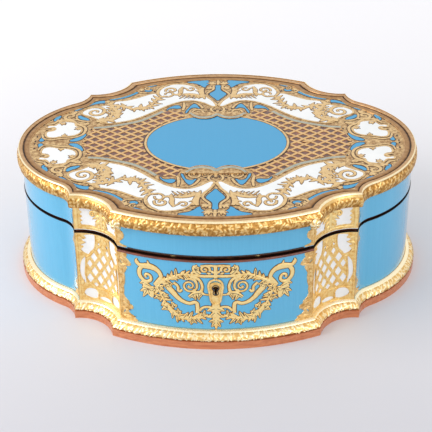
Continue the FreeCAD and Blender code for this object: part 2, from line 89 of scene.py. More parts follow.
def noise(tree, size_mm, detail, rough=0.5, stretch=(1, 1, 1)):
    """Cloudy pattern on the piece's own coordinates, drawn out along an axis by a stretch below one."""
    place = add(tree, "ShaderNodeTexCoord", {}, {})
    drawn = add(tree, "ShaderNodeMapping", {"Scale": stretch}, {"Vector": place.outputs["Object"]})
    settings = {"Scale": 1 / (size_mm * MM), "Detail": detail, "Roughness": rough}
    return add(tree, "ShaderNodeTexNoise", settings, {"Vector": drawn.outputs["Vector"]}).outputs["Fac"]


def tint(tree, shader, ramp, source):
    """Colour a shader by a ramp of places and hex values."""
    colour = add(tree, "ShaderNodeValToRGB", {"ramp": ramp}, {"Fac": source})
    tree.links.new(colour.outputs["Color"], shader.inputs["Base Color"])


def emboss(tree, shader, strength, depth_mm, source):
    """Roughen a shader's surface by a pattern."""
    relief = add(tree, "ShaderNodeBump", {"Strength": strength, "Distance": depth_mm * MM},
                 {"Height": source})
    tree.links.new(relief.outputs["Normal"], shader.inputs["Normal"])


GRAIN_STRETCH = (0.06, 1, 1)


def wood(name, dark, light, grain_mm, polish):
    """Quarter-cut timber: long fine grain with broader drifts of colour under a clear polish."""
    material, tree, shader = finish(name, Roughness=0.42, Coat_Weight=polish, Coat_Roughness=0.15)
    grain = noise(tree, grain_mm, 6.0, 0.65, GRAIN_STRETCH)
    tint(tree, shader, [(0.32, dark), (0.68, light)], grain)
    emboss(tree, shader, 0.15, 0.2, grain)
    return material


mahogany = wood("polished_mahogany", "#B66238", "#DC8E5E", 2.0, 0.5)
dress(mahogany, "base_board")

# Carcass and lid frame: oiled mahogany walls, corner posts, rails and top board, glued and veneered.
# Only their rims and inner faces are seen, as the brown strip in the gap under the lid.
carcass_wood = wood("oiled_mahogany", "#5E3020", "#8A4C33", 2.5, 0.2)
sides = ("front", "back", "left", "right")
dress(carcass_wood, "corner_posts", "lid_corner_blocks", "lid_board", *["carcass_" + side for side in sides],
      *["lid_rail_" + side for side in sides])

# Base moulding: eight cast and chased lengths of gilt bronze, mitred at the corners and pinned on the plinth.
# A smooth fillet runs along the wall, and below it a row of leaf palmettes hangs over the plinth's edge.
HALF_LENGTH = 172.0
HALF_DEPTH = 136.0
BOW_CHORD = 80.0
BOW_RISE = 18.0
LEAN = 0.8
SIDE_RADIUS = 86.0
SIDE_SWEEP = math.radians(59.3)
COVE_RADIUS = 23.6
COVE_SWEEP = math.radians(53.8)
HOLLOW = 8.5
QUARTERS = {"front_right": (1, -1), "back_right": (1, 1), "back_left": (-1, 1), "front_left": (-1, -1)}
AROUND = ("front", "front_right", "right", "back_right", "back", "back_left", "left", "front_left")


def bow(share, out):
    """Point of the front bow."""
    chord = BOW_CHORD + out
    rise = BOW_RISE + (1 - LEAN) * out
    radius = (chord ** 2 + rise ** 2) / (2 * rise)
    turn = (2 * share - 1) * np.arcsin(chord / radius)
    return radius * np.sin(turn), radius * (1 - np.cos(turn)) - HALF_DEPTH - out


def cove(past, out):
    """Point of the back right cove, past being the angle turned since the swelling side ended."""
    reach = SIDE_RADIUS + COVE_RADIUS + out
    angle = SIDE_SWEEP + math.pi - past
    return (HALF_LENGTH - SIDE_RADIUS + reach * math.cos(SIDE_SWEEP) + COVE_RADIUS * np.cos(angle),
            reach * math.sin(SIDE_SWEEP) + COVE_RADIUS * np.sin(angle))


def swelling(share, out):
    """Point of the right side, which runs out into a cove at each end."""
    main = SIDE_RADIUS * SIDE_SWEEP
    walked = np.abs(2 * share - 1) * (main + COVE_RADIUS * COVE_SWEEP)
    angle = np.minimum(walked, main) / SIDE_RADIUS
    past = np.maximum(walked - main, 0) / COVE_RADIUS
    cove_x, cove_y = cove(past, out)
    x = np.where(past > 0, cove_x, HALF_LENGTH - SIDE_RADIUS + (SIDE_RADIUS + out) * np.cos(angle))
    y = np.where(past > 0, cove_y, (SIDE_RADIUS + out) * np.sin(angle))
    return x, np.sign(share - 0.5) * y


def pilaster(share, out):
    """Hollow between the bow's corner and the cove's cusp, in the back right quarter."""
    corner_x, corner_y = BOW_CHORD + out, HALF_DEPTH - BOW_RISE + LEAN * out
    cusp_x, cusp_y = cove(COVE_SWEEP, out)
    chord = np.hypot(cusp_x - corner_x, cusp_y - corner_y)
    along_x, along_y = (cusp_x - corner_x) / chord, (cusp_y - corner_y) / chord
    radius = (chord ** 2 / 4 + HOLLOW ** 2) / (2 * HOLLOW)
    turn = (2 * share - 1) * np.arcsin(chord / 2 / radius)
    slide = radius * np.sin(turn)
    dip = radius * np.cos(turn) - (radius - HOLLOW)
    return ((corner_x + cusp_x) / 2 + along_x * slide + along_y * dip,
            (corner_y + cusp_y) / 2 + along_y * slide - along_x * dip)


def plan(stretch, share, out):
    """Plan points of one stretch of the walls, anticlockwise, some way out from the veneer."""
    if stretch in QUARTERS:
        right, back = QUARTERS[stretch]
        x, y = pilaster(1 - share if right * back > 0 else share, out)
        return right * x, back * y
    x, y = bow(share, out) if stretch in ("front", "back") else swelling(share, out)
    return (x, y) if stretch in ("front", "right") else (-x, -y)


def length_of(stretch):
    """Length of a stretch in millimetres along the veneer."""
    x, y = plan(stretch, np.linspace(0, 1, 200), np.zeros(200))
    return float(np.hypot(np.diff(x), np.diff(y)).sum())


def alone(piece):
    """Select one piece and nothing else, as the operators need."""
    bpy.ops.object.select_all(action="DESELECT")
    piece.select_set(True)
    bpy.context.view_layer.objects.active = piece


def corners_of(piece):
    """A piece's vertices, one to a row."""
    flat = np.empty(len(piece.data.vertices) * 3)
    piece.data.vertices.foreach_get("co", flat)
    return flat.reshape(-1, 3)


def move(piece, points):
    """Put a piece's vertices at points in millimetres."""
    piece.data.vertices.foreach_set("co", (points * MM).ravel())


def sheet_of(name, points):
    """A grid whose vertices lie at an array of rows and columns of points in millimetres."""
    rows, columns = points.shape[:2]
    bpy.ops.object.select_all(action="DESELECT")
    bpy.ops.mesh.primitive_grid_add(x_subdivisions=columns - 1, y_subdivisions=rows - 1)
    piece = bpy.context.object
    piece.name = piece.data.name = name
    move(piece, points)
    return piece


def close_up(piece, angle_deg):
    """Merge the seam of a rolled-up grid, fill its ends and shade it."""
    alone(piece)
    bpy.ops.object.mode_set(mode="EDIT")
    bpy.ops.mesh.select_all(action="SELECT")
    bpy.ops.mesh.remove_doubles(threshold=0.002 * MM)
    bpy.ops.mesh.fill_holes(sides=0)
    bpy.ops.mesh.select_all(action="SELECT")
    bpy.ops.mesh.normals_make_consistent(inside=False)
    bpy.ops.object.mode_set(mode="OBJECT")
    bpy.ops.object.shade_smooth_by_angle(angle=math.radians(angle_deg))


def note(piece, name, values):
    """Keep one number for each vertex, for the material to read."""
    piece.data.attributes.new(name, "FLOAT", "POINT").data.foreach_set("value", values.ravel())


def fit(piece, material, body, slot, *nodes):
    """Give a piece its finish, its body and the CAD nodes that it stands for."""
    piece.data.materials.clear()
    piece.data.materials.append(material)
    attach(piece, body)
    if nodes:
        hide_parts(*nodes)


def petal(u, v, middle, half, angle_deg):
    """Domed petal on a sheet of places u along and v up, 1 at its crown and 0 outside."""
    cos, sin = np.cos(np.radians(angle_deg)), np.sin(np.radians(angle_deg))
    du, dv = u - middle[0], v - middle[1]
    return np.sqrt(np.clip(1 - ((du * cos
                                 + dv * sin) / half[0]) ** 2 - ((dv * cos - du * sin) / half[1]) ** 2, 0, 1))


STREWN = 13
CHANCE = (12.9898, 78.233, 43758.5453)


def foliage(u, v, pitch, height):
    """Low leafage: leaves and berries strewn at chance angles along a band, as a relief from 0 to 1."""
    relief = np.zeros(np.broadcast(u, v).shape)
    for shift in (-1, 0, 1):
        cell = np.floor(u / pitch) + shift
        for draw in range(STREWN):
            chance = [np.mod(np.sin(cell * CHANCE[0] + (5 * draw + n) * CHANCE[1]) * CHANCE[2], 1.0)
                      for n in range(5)]
            middle = ((cell + chance[0]) * pitch, (0.06 + 0.9 * chance[1]) * height)
            half = ((0.15 + 0.15 * chance[2]) * pitch, (0.07 + 0.04 * chance[2]) * pitch)
            relief = np.maximum(relief, (0.55 + 0.45 * chance[3]) * petal(u, v, middle, half,
                                                                          180 * chance[4]))
    return relief


# Gilt bronze: cast, chased and fire-gilt. The recesses are painted brown as shade and left matt,
# and the crowns are painted pale as a highlight.
gilt, tree, shader = finish("cast_gilt_bronze", Metallic=1.0)
depth = add(tree, "ShaderNodeAttribute", {"attribute_name": "relief"}, {})
WEAR_MM, CHASING_MM = 2.2, 0.9
wear = add(tree, "ShaderNodeMath", {"operation": "MULTIPLY_ADD", 1: 0.5, 2: -0.25},
           {0: noise(tree, WEAR_MM, 4.0)})
shade_and_mottle = add(tree, "ShaderNodeMath", {"operation": "ADD"}, {0: depth.outputs["Fac"], 1: wear.outputs["Value"]})
tint(tree, shader, [(0.0, "#946428"), (0.25, "#D6A45C"), (0.55, "#EECA86"), (0.95, "#FFF1CC")],
     shade_and_mottle.outputs["Value"])
dull = add(tree, "ShaderNodeMapRange", {"To Min": 0.5, "To Max": 0.24}, {"Value": shade_and_mottle.outputs["Value"]})
tree.links.new(dull.outputs["Result"], shader.inputs["Roughness"])
emboss(tree, shader, 0.45, 0.3, noise(tree, CHASING_MM, 2.0))

STEP_MM = 0.5
ROWS = 28


def cast_length(stretch, foot, top, outline, carve, inner=0.0, slim=0.0):
    """One mitred length: its outline of height and reach is carved, rolled up against the wall and closed.

    The reach falls off by the share slim from the middle of the front to the ends of the casket.
    """
    shares = np.linspace(0, 1, int(length_of(stretch) / STEP_MM))
    run = np.linspace(0, 1, len(outline))
    heights, reaches = (np.interp(np.linspace(0, 1, ROWS), run, column)[:, None] for column in zip(*outline))
    # The carve also gives each vertex a painted shade and highlight value, dark in the hollows, for the gilt
    # to read.
    sunk, raised, relief = carve(shares[None, :] * length_of(stretch), heights)
    none, low, high = np.zeros_like(shares), np.full_like(shares, foot), np.full_like(shares, top)
    width = 1 - slim * (plan(stretch, shares, none)[0] / HALF_LENGTH) ** 2
    x, y = plan(stretch, shares[None, :], np.vstack([none, (reaches - sunk) * width, inner * width, none]))
    level = np.vstack([low, np.clip(foot + heights + raised, foot, top), high, low])
    return np.stack([x, y, level], axis=2), np.vstack([none, relief, none, none])


MOULDING_FOOT, MOULDING_TOP = 7.0, 15.2
SMOOTH_DEG = 50
LEAF_PITCH = 6.5
CARVED = 0.55
FILLET = 6.3


def base_carve(u, v):
    """Carving of the base moulding: how far it is sunk and lifted, and how dark its hollows are painted as
    shade.
    """
    leafage = foliage(u, v, LEAF_PITCH, FILLET)
    relief = np.maximum(leafage, np.clip((v - FILLET) / 0.4, 0, 1))
    hanging = np.clip(1 - v / 2.2, 0, 1)
    return (1 - relief) * CARVED, (1 - relief) * hanging, np.where(v > FILLET, 1.0, 0.4 + 0.6 * leafage)


BASE_OUTLINE = [(0.0, 7.6), (0.7, 8.15), (2.0, 8.1), (3.4, 7.4), (4.8, 6.1), (5.8, 4.8), (6.2, 4.0),
                (6.5, 3.7), (7.4, 2.3), (8.15, 0.7)]
for stretch in AROUND:
    points, relief = cast_length(stretch, MOULDING_FOOT, MOULDING_TOP, BASE_OUTLINE, base_carve)
    piece = sheet_of("base_moulding_gilt_" + stretch, points)
    note(piece, "relief", relief)
    close_up(piece, SMOOTH_DEG)
    fit(piece, gilt, "case", "gilt_bronze",
        "base_moulding_" + (stretch if stretch in sides else "corners"))

# Blue panels: sheets of clear horn over a sky-blue ground, glued to the walls and polished to a high gloss.
# The saw leaves fine streaks in the horn, upright on the walls and front to back on the lid.


STREAK_MM, STREAK_LENGTH_MM = 1.6, 45.0


def horn(name, pale, deep, upright, polish):
    """Clear horn over paint, its streaks upright or running front to back."""
    material, tree, shader = finish(name, Roughness=0.12, IOR=1.4, Coat_Weight=polish, Coat_Roughness=0.05)
    drawn = STREAK_MM / STREAK_LENGTH_MM
    streaks = noise(tree, STREAK_MM, 5.0, 0.7, (1, 1, drawn) if upright else (1, drawn, 1))
    tint(tree, shader, [(0.3, deep), (0.7, pale)], streaks)
    emboss(tree, shader, 0.04, 0.1, streaks)
    return material


wall_blue = horn("sky_blue_horn_upright", "#5EB5DD", "#57AED7", True, 0.9)
top_blue = horn("sky_blue_horn_flat", "#44A2D2", "#42A0D0", False, 0.0)
dress(wall_blue, *["panel_" + side for side in sides], *["lid_panel_" + side for side in sides])
dress(top_blue, "top_ground", "centre_oval")

# Pilasters: white veneer bent into the hollow corners, under pierced brass frets that are cut with a saw,
# engraved and glued down: side bands, a bell of trellis with white lozenges, and scrolled bands below it.


def clouded(name, ramp, size_mm, detail, **look):
    """Material whose colour drifts over its surface."""
    material, tree, shader = finish(name, **look)
    tint(tree, shader, ramp, noise(tree, size_mm, detail))
    return material


PATCH_MM, BURIN_MM = 3.0, 1.0


def brass(name, pale, deep, cut, metal):
    """Engraved sheet brass: burin strokes, painted bright on top as a highlight and dark along the sawn edges
    as shade, in the colour cut.
    """
    material, tree, shader = finish(name, Metallic=metal, Roughness=0.32)
    edge = add(tree, "ShaderNodeAttribute", {"attribute_name": "cut"}, {})
    shade_and_mottle = add(tree, "ShaderNodeMath", {"operation": "MULTIPLY_ADD", 1: -0.6},
                {0: edge.outputs["Fac"], 2: noise(tree, PATCH_MM, 5.0, 0.65)})
    tint(tree, shader, [(0.0, cut), (0.36, deep), (0.64, pale)], shade_and_mottle.outputs["Value"])
    emboss(tree, shader, 0.4, 0.25, noise(tree, BURIN_MM, 2.0))
    return material


def sawn(name, drawing):
    """Turn a drawing in millimetres into a flat mesh."""
    piece = bpy.data.objects.new(name, drawing)
    bpy.context.collection.objects.link(piece)
    alone(piece)
    bpy.ops.object.convert(target="MESH")
    piece = bpy.context.object
    piece.data.name = name
    return piece


def bend(piece, place):
    """Move a flat piece's vertices, drawn as along, up and out in millimetres, to where place puts them."""
    move(piece, np.stack(place(*corners_of(piece).T), axis=1))


STEEP, FLAT_FOOT = 0.6, 0.04


def scrollwork(name, strokes, place, closed=False, height=0.45):
    """Low relief of (along, up, half width) strokes in millimetres, laid on the surface that place gives."""
    drawing = bpy.data.curves.new(name, "CURVE")
    drawing.dimensions = "3D"
    drawing.twist_mode = "Z_UP"
    drawing.bevel_depth = 1.0
    drawing.bevel_resolution = 2
    drawing.resolution_u = 4
    drawing.use_fill_caps = True
    for stroke in strokes:
        spline = drawing.splines.new("BEZIER")
        spline.use_cyclic_u = closed
        spline.bezier_points.add(len(stroke) - 1)
        for point, (along, up, half) in zip(spline.bezier_points, stroke):
            point.co = (along, up, 0)
            point.radius = half
        for point in spline.bezier_points:
            point.handle_left_type = point.handle_right_type = "AUTO"
    piece = sawn(name, drawing)
    flat = corners_of(piece)
    crown = np.where(flat[:, 2] > 0, np.tanh(flat[:, 2] * STEEP / height), 0)
    flat[:, 2] = np.where(flat[:, 2] > 0, height * crown, FLAT_FOOT * flat[:, 2])
    piece.data.vertices.foreach_set("co", flat.ravel())
    # The cut value paints shade along each stroke's edges and a highlight on its crown.
    note(piece, "cut", (1 - crown) ** 2 - 0.3 * crown ** 4)
    bend(piece, place)
    bpy.ops.object.shade_smooth_by_angle(angle=math.radians(60))
    return piece


def smooth(points):
    """Closed outline through its points without corners."""
    here = np.array(points, float)
    before, ahead, beyond = np.roll(here, 1, 0), np.roll(here, -1, 0), np.roll(here, -2, 0)
    step = np.linspace(0, 1, 5, endpoint=False)[:, None, None]
    line = here + 0.5 * step * (ahead - before + step * (2 * before - 5 * here + 4 * ahead - beyond
                                                         + step * (3 * here - before - 3 * ahead + beyond)))
    return line.transpose(1, 0, 2).reshape(-1, 2).tolist()


def pierced(name, outlines, place, thickness, bend_mm=0):
    """Sheet sawn to closed outlines, one inside another being a hole, bent along its length where it must."""
    drawing = bpy.data.curves.new(name, "CURVE")
    drawing.dimensions = "2D"
    drawing.fill_mode = "BOTH"
    drawing.extrude = thickness / 2
    for outline in outlines:
        spline = drawing.splines.new("POLY")
        spline.use_cyclic_u = True
        spline.points.add(len(outline) - 1)
        for point, (along, up) in zip(spline.points, outline):
            point.co = (along, up, 0, 1)
    piece = sawn(name, drawing)
    if bend_mm:
        along = [s for outline in outlines for s, t in outline]
        bpy.ops.object.mode_set(mode="EDIT")
        for cut in np.arange(min(along) + bend_mm, max(along), bend_mm):
            bpy.ops.mesh.select_all(action="SELECT")
            bpy.ops.mesh.bisect(plane_co=(cut, 0, 0), plane_no=(1, 0, 0))
        bpy.ops.object.mode_set(mode="OBJECT")
    bend(piece, lambda s, t, h: place(s, t, h + thickness / 2))
    close_up(piece, 30)
    return piece


def on_wall(stretch):
    """Places flat drawing on a wall: along from the wall's middle, up from the table, out from the veneer."""
    long = length_of(stretch)

    def place(s, t, h):
        x, y = plan(stretch, 0.5 + s / long, h)
        return x, y, t
    return place


def lifted(place, lift):
    """The same surface, some way further out."""
    return lambda s, t, h: place(s, t, h + lift)


def mirrored(lines):
    """Half a drawing and its other half, turned over."""
    return lines + [[(-s, *rest) for s, *rest in line] for line in lines]


def volute(middle, radius, start_deg, turns, half):
    """Spiral that winds in to an eye; turns below zero wind clockwise."""
    count = max(6, int(abs(turns) * 9))
    stroke = []
    for n in range(count + 1):
        share = n / count
        angle = math.radians(start_deg) + 2 * math.pi * turns * share
        reach = radius * (1 - 0.78 * share)
        stroke.append((middle[0] + reach * math.cos(angle), middle[1] + reach * math.sin(angle),
                       half * (1 - 0.35 * share)))
    stroke.append((middle[0], middle[1], half * 1.3))
    return stroke


def leaf(s, t, angle_deg, long, half):
    """Pointed leaf from its stalk outwards."""
    cos, sin = math.cos(math.radians(angle_deg)), math.sin(math.radians(angle_deg))
    return [(s + cos * long * share, t + sin * long * share, half * width)
            for share, width in ((0, 0.45), (0.35, 1.0), (0.7, 0.62), (1.0, 0.12))]


def spray(s, t, angle_deg, long, half, fan_deg=(-50, -25, 0, 25, 50)):
    """Fan of leaves, the middle one longest."""
    return [leaf(s, t, angle_deg + turn, long * (1 - abs(turn) / 160), half) for turn in fan_deg]


def branch(points, half, long, gap):
    """Stem with pointed leaves on alternate sides, no two alike."""
    stroke = [(x, y, half * (1 - 0.5 * n / len(points))) for n, (x, y) in enumerate(points)]
    strokes = [stroke]
    line = np.array(points)
    walked = np.concatenate([[0], np.cumsum(np.hypot(*np.diff(line, axis=0).T))])
    for n, stop in enumerate(np.arange(gap * 0.6, walked[-1], gap)):
        x, y = (np.interp(stop, walked, line[:, axis]) for axis in (0, 1))
        ahead = [np.interp(stop + 1, walked, line[:, axis]) for axis in (0, 1)]
        heading = math.degrees(math.atan2(ahead[1] - y, ahead[0] - x))
        chance = (n * 0.618) % 1
        lean = (38 + 26 * chance) * (1 if n % 2 else -1)
        strokes.append(leaf(x, y, heading + lean, long * (0.75 + 0.5 * chance), half * (0.6 + 0.3 * chance)))
    return strokes


def rail(points, half):
    """Stroke of one width."""
    return [(s, t, half) for s, t in points]


def oblong(half, low, high):
    """Outline of a plain sheet."""
    return [(-half, low), (half, low), (half, high), (-half, high)]


def lozenge(s, t, half):
    """Four-cornered hole."""
    return [(s - half[0], t), (s, t - half[1]), (s + half[0], t), (s, t + half[1])]


white = clouded("white_veneer", [(0.3, "#EDF0F0"), (0.7, "#F8F9F9")], 14, 3.0, Roughness=0.16, IOR=1.53,
                Coat_Weight=0.2, Coat_Roughness=0.05)
dress(white, "pilaster_panels", "lid_pilaster_panels")
front_brass = brass("engraved_brass_bright", "#FFE39E", "#EDB962", "#76501F", 0.6)

HALF_PILASTER = length_of("front_left") / 2 - 0.3
CASE_FOOT, CASE_RIM = MOULDING_TOP, 82.9
BEND_MM = 2.5
SHEET, CLEAR, SCROLLS_SUNK = 0.4, 0.1, 0.1
LOZENGE = (3.2, 5.0)
half_holes = [smooth([(7.8, 81.4), (12, 81.8), (17.4, 80.4), (16, 77.6), (19.8, 76), (17.6, 73.6), (21, 71),
                      (18.4, 69.4), (20.6, 66), (17.6, 63), (14.4, 62), (12.4, 65), (9.4, 68.4), (8, 74)]),
              smooth([(17.4, 59), (21.2, 54.6), (22.7, 47), (22.2, 40), (18.6, 31.6), (18.2, 36), (18.9, 41),
                      (18.6, 47), (17.4, 53)]), smooth([(7.6, 19.8), (8.6, 25.2), (12.6, 27.4), (18, 26.2),
                                                        (20.4, 21.4), (16.4, 18), (11, 17.2)])]
half_holes += [lozenge(s, t, LOZENGE) for s,
               t in ((9.6, 59.4), (4.8, 52.2), (9.6, 45), (4.8, 37.8), (14.3, 37.8))]
half_holes += [lozenge(4.4, 66.8, (2.2, 3.6)), lozenge(13.9, 52.4, (2.5, 4.2)),
               lozenge(9.2, 31.8, (2.4, 2.4)), lozenge(4.4, 73.6, (1.2, 2.6))]
holes = mirrored(half_holes) + [lozenge(0, t, LOZENGE) for t in (59.4, 45)] + [lozenge(0, 32, (2.8, 3.0))]
holes.append(smooth([(-6.4, 18.6), (-3, 20.6), (3, 20.6), (6.4, 18.6), (3, 16.8), (-3, 16.8)]))
outline = oblong(HALF_PILASTER, CASE_FOOT, CASE_RIM)
half_fret = [rail([(7.2, 81), (7.4, 73), (9.6, 66), (13.4, 61), (16.8, 58.6)], 0.7),
             rail([(16.8, 58.6), (17.7, 47), (17.0, 34.6), (13.8, 29), (7.4, 28), (0, 28.6)], 0.7),
             rail([(23.4, 16), (23.6, 50), (23.4, 82)], 0.9),
             rail([(20.6, 27), (14, 28), (8, 26.6), (7.4, 20), (7.8, 17)], 0.8), leaf(23, 79, 200, 6, 1.6),
             leaf(23, 72.4, 170, 7, 1.8), leaf(23, 66, 215, 5, 1.5), leaf(22, 30, 110, 6, 1.6),
             leaf(21.6, 22, 250, 5, 1.5), leaf(2.0, 80, -60, 7, 1.4), leaf(1.6, 74, -50, 6, 1.3)]
for name in QUARTERS:
    piece = pierced("pilaster_fret_" + name, [outline] + holes, on_wall(name), SHEET, BEND_MM)
    fit(piece, front_brass, "case", "brass", "pilaster_frets")
    piece = scrollwork("pilaster_scrolls_" + name, mirrored(half_fret),
                       lifted(on_wall(name), SHEET - SCROLLS_SUNK))
    fit(piece, front_brass, "case", "brass")

# Leaf borders: brass leafage sawn to a ragged outline, inlaid on the blue panels against the pilasters.
# It is broad at the foot, slips to a narrow band at mid height and flares again under the rim.
border_brass = brass("engraved_brass_leafage", "#F6D594", "#CF9A50", "#6A4318", 0.6)
LEAFY_EDGE = [(15.6, 15.3), (13.1, 17.5), (11.1, 20), (8.6, 21), (6.8, 23.3), (8.1, 25.8), (11.1, 26.2),
              (11.6, 28.5), (10.6, 30.2), (8.4, 31), (8.0, 33.5), (6.1, 35.2), (4.3, 37.2), (3.3, 40),
              (3.8, 43.5), (3.6, 47.5), (4.8, 51.5), (5.2, 57), (4.8, 61), (6.1, 63.5), (7.6, 66.5),
              (6.6, 68.6), (10.1, 69.4), (11.6, 70.8), (10.6, 73), (8.6, 75.4), (7.0, 77.2), (8.0, 79.4),
              (7.0, 82.4)]
SLOTS = [[(3.4, 70.6), (1.4, 73.6), (0.8, 72.8), (2.8, 70.0)],
         [(3.0, 61.6), (1.0, 63.2), (0.8, 62.2), (2.8, 60.8)],
         [(5.6, 25.6), (3.6, 23.6), (2.2, 21.2), (3.0, 21.0), (4.4, 23.2)]]
RIBS = [(1.5, 68, 160, 9), (1.5, 76, 200, 7), (2, 32, 200, 8), (2, 18, 175, 12), (1.5, 26, 190, 8),
        (1.2, 50, 100, 8), (1.2, 40, 95, 7), (1.4, 60, 110, 6)]
SIDE_REACH, RIBS_SUNK, RIB_HALF = 0.85, 0.15, 1.5
for stretch in sides:
    end = length_of(stretch) / 2 - CLEAR
    reach = 1.0 if stretch in ("front", "back") else SIDE_REACH
    leafage = [[(end, LEAFY_EDGE[0][1])] + [(end - reach * s, t) for s, t in LEAFY_EDGE]
               + [(end, LEAFY_EDGE[-1][1])]]
    leafage += [[(end - reach * s, t) for s, t in slot] for slot in SLOTS]
    piece = pierced("leaf_border_" + stretch, mirrored(leafage), on_wall(stretch), SHEET, BEND_MM)
    fit(piece, border_brass, "case", "brass", "leaf_borders")
    ribs = [leaf(end - reach * s, t, turn, long, RIB_HALF) for s, t, turn, long in RIBS]
    piece = scrollwork("leaf_border_veins_" + stretch, mirrored(ribs),
                       lifted(on_wall(stretch), SHEET - RIBS_SUNK))
    fit(piece, border_brass, "case", "brass")

# Front cartouche: one sheet of brass pierced into scrolls, garlands and leaves round the lock, engraved and
# inlaid in the blue front. Half of it is drawn and turned over for the other half.
TRIO = (-50, 0, 50)
axis = [rail([(0, 66), (0.2, 72), (0, 78.6)], 1.7),
        [(0, 42, 3.2), (0, 36, 4.2), (0, 30, 3.4), (0, 23, 3.0), (0, 18, 1.4), (0, 15.6, 0.6)]]
half_cartouche = [
    # tendril at the upper corner, with its hooked tip and its curl
    [(45.0, 62, 1.6), (45.4, 66, 1.9), (48, 70, 2.2), (52.4, 72.4, 2.9), (57, 72.8, 3.0), (61, 72.4, 2.4),
     (64.4, 73.2, 1.8), (66.4, 75.6, 1.5), (65.6, 78.6, 0.6)], leaf(64, 73.4, 60, 5.4, 1.3),
    leaf(55, 73, 75, 6, 1.35), [(60.6, 72, 1.6), (63.4, 68.6, 2.0), (64, 64, 2.0), (62.2, 60, 1.9),
                                (58.6, 57.6, 1.7), (54.8, 58.8, 1.5), (53.8, 62, 1.4), (56, 64.8, 1.3),
                                (58.8, 63.6, 1.2), (58.2, 61.4, 1.2)],
    # acanthus leaf below it
    [(61, 58.6, 1.8), (59, 54.6, 3.0), (56.4, 50.4, 4.2), (54.2, 46.4, 3.4), (53.4, 42.4, 1.2)],
    *spray(56.6, 50.6, -62, 10.5, 2.3, (-118, -85, -40, 0, 34, 74)), leaf(59, 55, 200, 6, 1.7),
    leaf(60, 56, -20, 4.6, 1.5),
    # leafy stem from the tendril down to the flower
    [(45.2, 63, 2.0), (47.8, 59.2, 2.2), (50.6, 56, 1.5)],
    *branch([(51, 57), (48, 52.6), (45.8, 47.6), (43.6, 42.4), (41, 37)], 1.5, 6.6, 1.9),
    *spray(47.4, 53, 165, 6.4, 1.9, (-60, -20, 30, 80)), *spray(44.6, 46.4, 170, 5.6, 1.8, TRIO),
    # leafy brow from the stem to the middle
    *branch([(48, 57.4), (42.6, 60.4), (37.6, 63.8), (32, 67.2), (26, 69), (19, 68.8)], 1.7, 6.4, 2.1),
    *branch([(46, 60), (40, 63), (34, 66.4), (28, 68.4), (22, 68.6)], 1.2, 5.4, 3.1),
    rail([(20, 68.8), (12, 68.2), (0, 68.2)], 1.5),
    # twin curls and leaf mass over the brow
    volute((8.6, 74.6), 4.3, 200, -1.2, 1.25), rail([(0, 78), (6, 78.4), (12, 77.6)], 1.2),
    [(12.6, 70, 1.8), (15.6, 72.6, 2.8), (17, 75.6, 2.4), (17.6, 78.4, 0.8)],
    *spray(15.6, 74, 90, 5.4, 1.8, (-80, -40, 0, 40, 100)), leaf(1, 71, 40, 5, 1.3),
    leaf(4, 70.4, 20, 4, 1.2),
    # great C-scroll beside the lock, and its ring
    [(20.6, 67, 1.6), (14.6, 65.4, 1.4), (11.4, 60.4, 1.3), (11.2, 55.4, 1.4), (13, 51, 1.8)],
    volute((21.4, 58), 7.3, 60, 1.7, 1.15), [(17.6, 65.4, 1.2), (15.8, 61.8, 1.1), (15.4, 57, 1.0)],
    [(34.6, 60.2, 1.4), (31, 56.6, 1.3), (30.2, 52, 1.4), (27.6, 53.6, 1.0)],
    # long S-band from the brow to the upright strap
    [(42.4, 58.6, 2.0), (38.8, 54.4, 2.7), (35, 50, 2.6), (31.4, 45.6, 2.2), (27, 42.2, 1.8),
     (21.4, 40.6, 1.7), (16.4, 41.8, 1.7), (15.2, 38, 1.8), (15.4, 31.4, 1.7)],
    # leaf cluster inside the scroll
    [(22, 47, 1.4), (17, 50.6, 2.4), (12, 51.6, 1.8), (9.6, 50.2, 1.1)], leaf(19, 50.4, 245, 7, 2.0),
    leaf(14, 51.4, 270, 7, 1.9), leaf(11.6, 51, 300, 6, 1.6), leaf(16.4, 51.4, 60, 5, 1.4),
    rail([(4.6, 49.8), (8, 50), (11, 50.4)], 0.8),
    # flower and leaf under the side spray
    *spray(40.6, 34.4, 0, 7.4, 2.0, (-150, -90, -30, 30, 90, 150)),
    *spray(34.4, 36, 60, 5.6, 1.8, (-144, -72, 0, 72, 144)), *spray(42, 57, 215, 6.4, 1.6, (-50, -10, 30)),
    *spray(50.6, 52.4, -40, 6.4, 1.7, (-60, -15, 30)), *spray(47, 44.6, -30, 6, 1.6, TRIO),
    *spray(38.6, 59, 235, 5.4, 1.5, (-40, 10)), *spray(31, 29.6, 80, 5.4, 1.6, TRIO),
    *spray(20, 23.6, -80, 5, 1.5, TRIO), [(41.8, 38.6, 1.8), (38, 33, 2.4), (35, 29.4, 2.6)],
    # garland along the foot
    *branch([(38, 33), (33, 28), (28, 25.4), (22, 25.4), (16, 26), (11, 27.4), (6.6, 29.6)], 1.9, 6.8, 2.1),
    *branch([(35, 30), (29, 26.6), (22, 26.6), (15, 27), (9, 28.6)], 1.3, 5.8, 3.0),
    [(13.6, 33.6, 1.2), (10.4, 37, 1.2), (6, 37.6, 1.3), (3, 36, 1.4)],
    # pendant leaf below the lock
    leaf(1, 36, -20, 7, 2.2), leaf(1, 32, -48, 7, 1.8), leaf(1, 24, -15, 5.4, 1.9),
    leaf(1, 22, -60, 5.6, 1.7), leaf(2, 27, 35, 5.6, 1.2)]
strokes = mirrored(half_cartouche) + axis
piece = scrollwork("front_cartouche_scrolls", strokes, on_wall("front"))
fit(piece, front_brass, "case", "brass", "front_cartouche")
kerf = clouded("dark_mastic", [(0.3, "#24160E"), (0.7, "#4A3020")], 1.5, 2.0, Roughness=0.5)
KERF, MASTIC, VEIN_LIFT = 0.4, 0.15, 0.42


def filled(strokes):
    """The same strokes, wider by the saw cut that mastic fills."""
    return [[(s, t, half + KERF) for s, t, half in stroke] for stroke in strokes]


def veins(strokes):
    """Burin line up each broad leaf."""
    return [rail([(s, t) for s, t, half in stroke[:3]], 0.24) for stroke in strokes
            if len(stroke) == 4 and stroke[1][2] > 1.4]


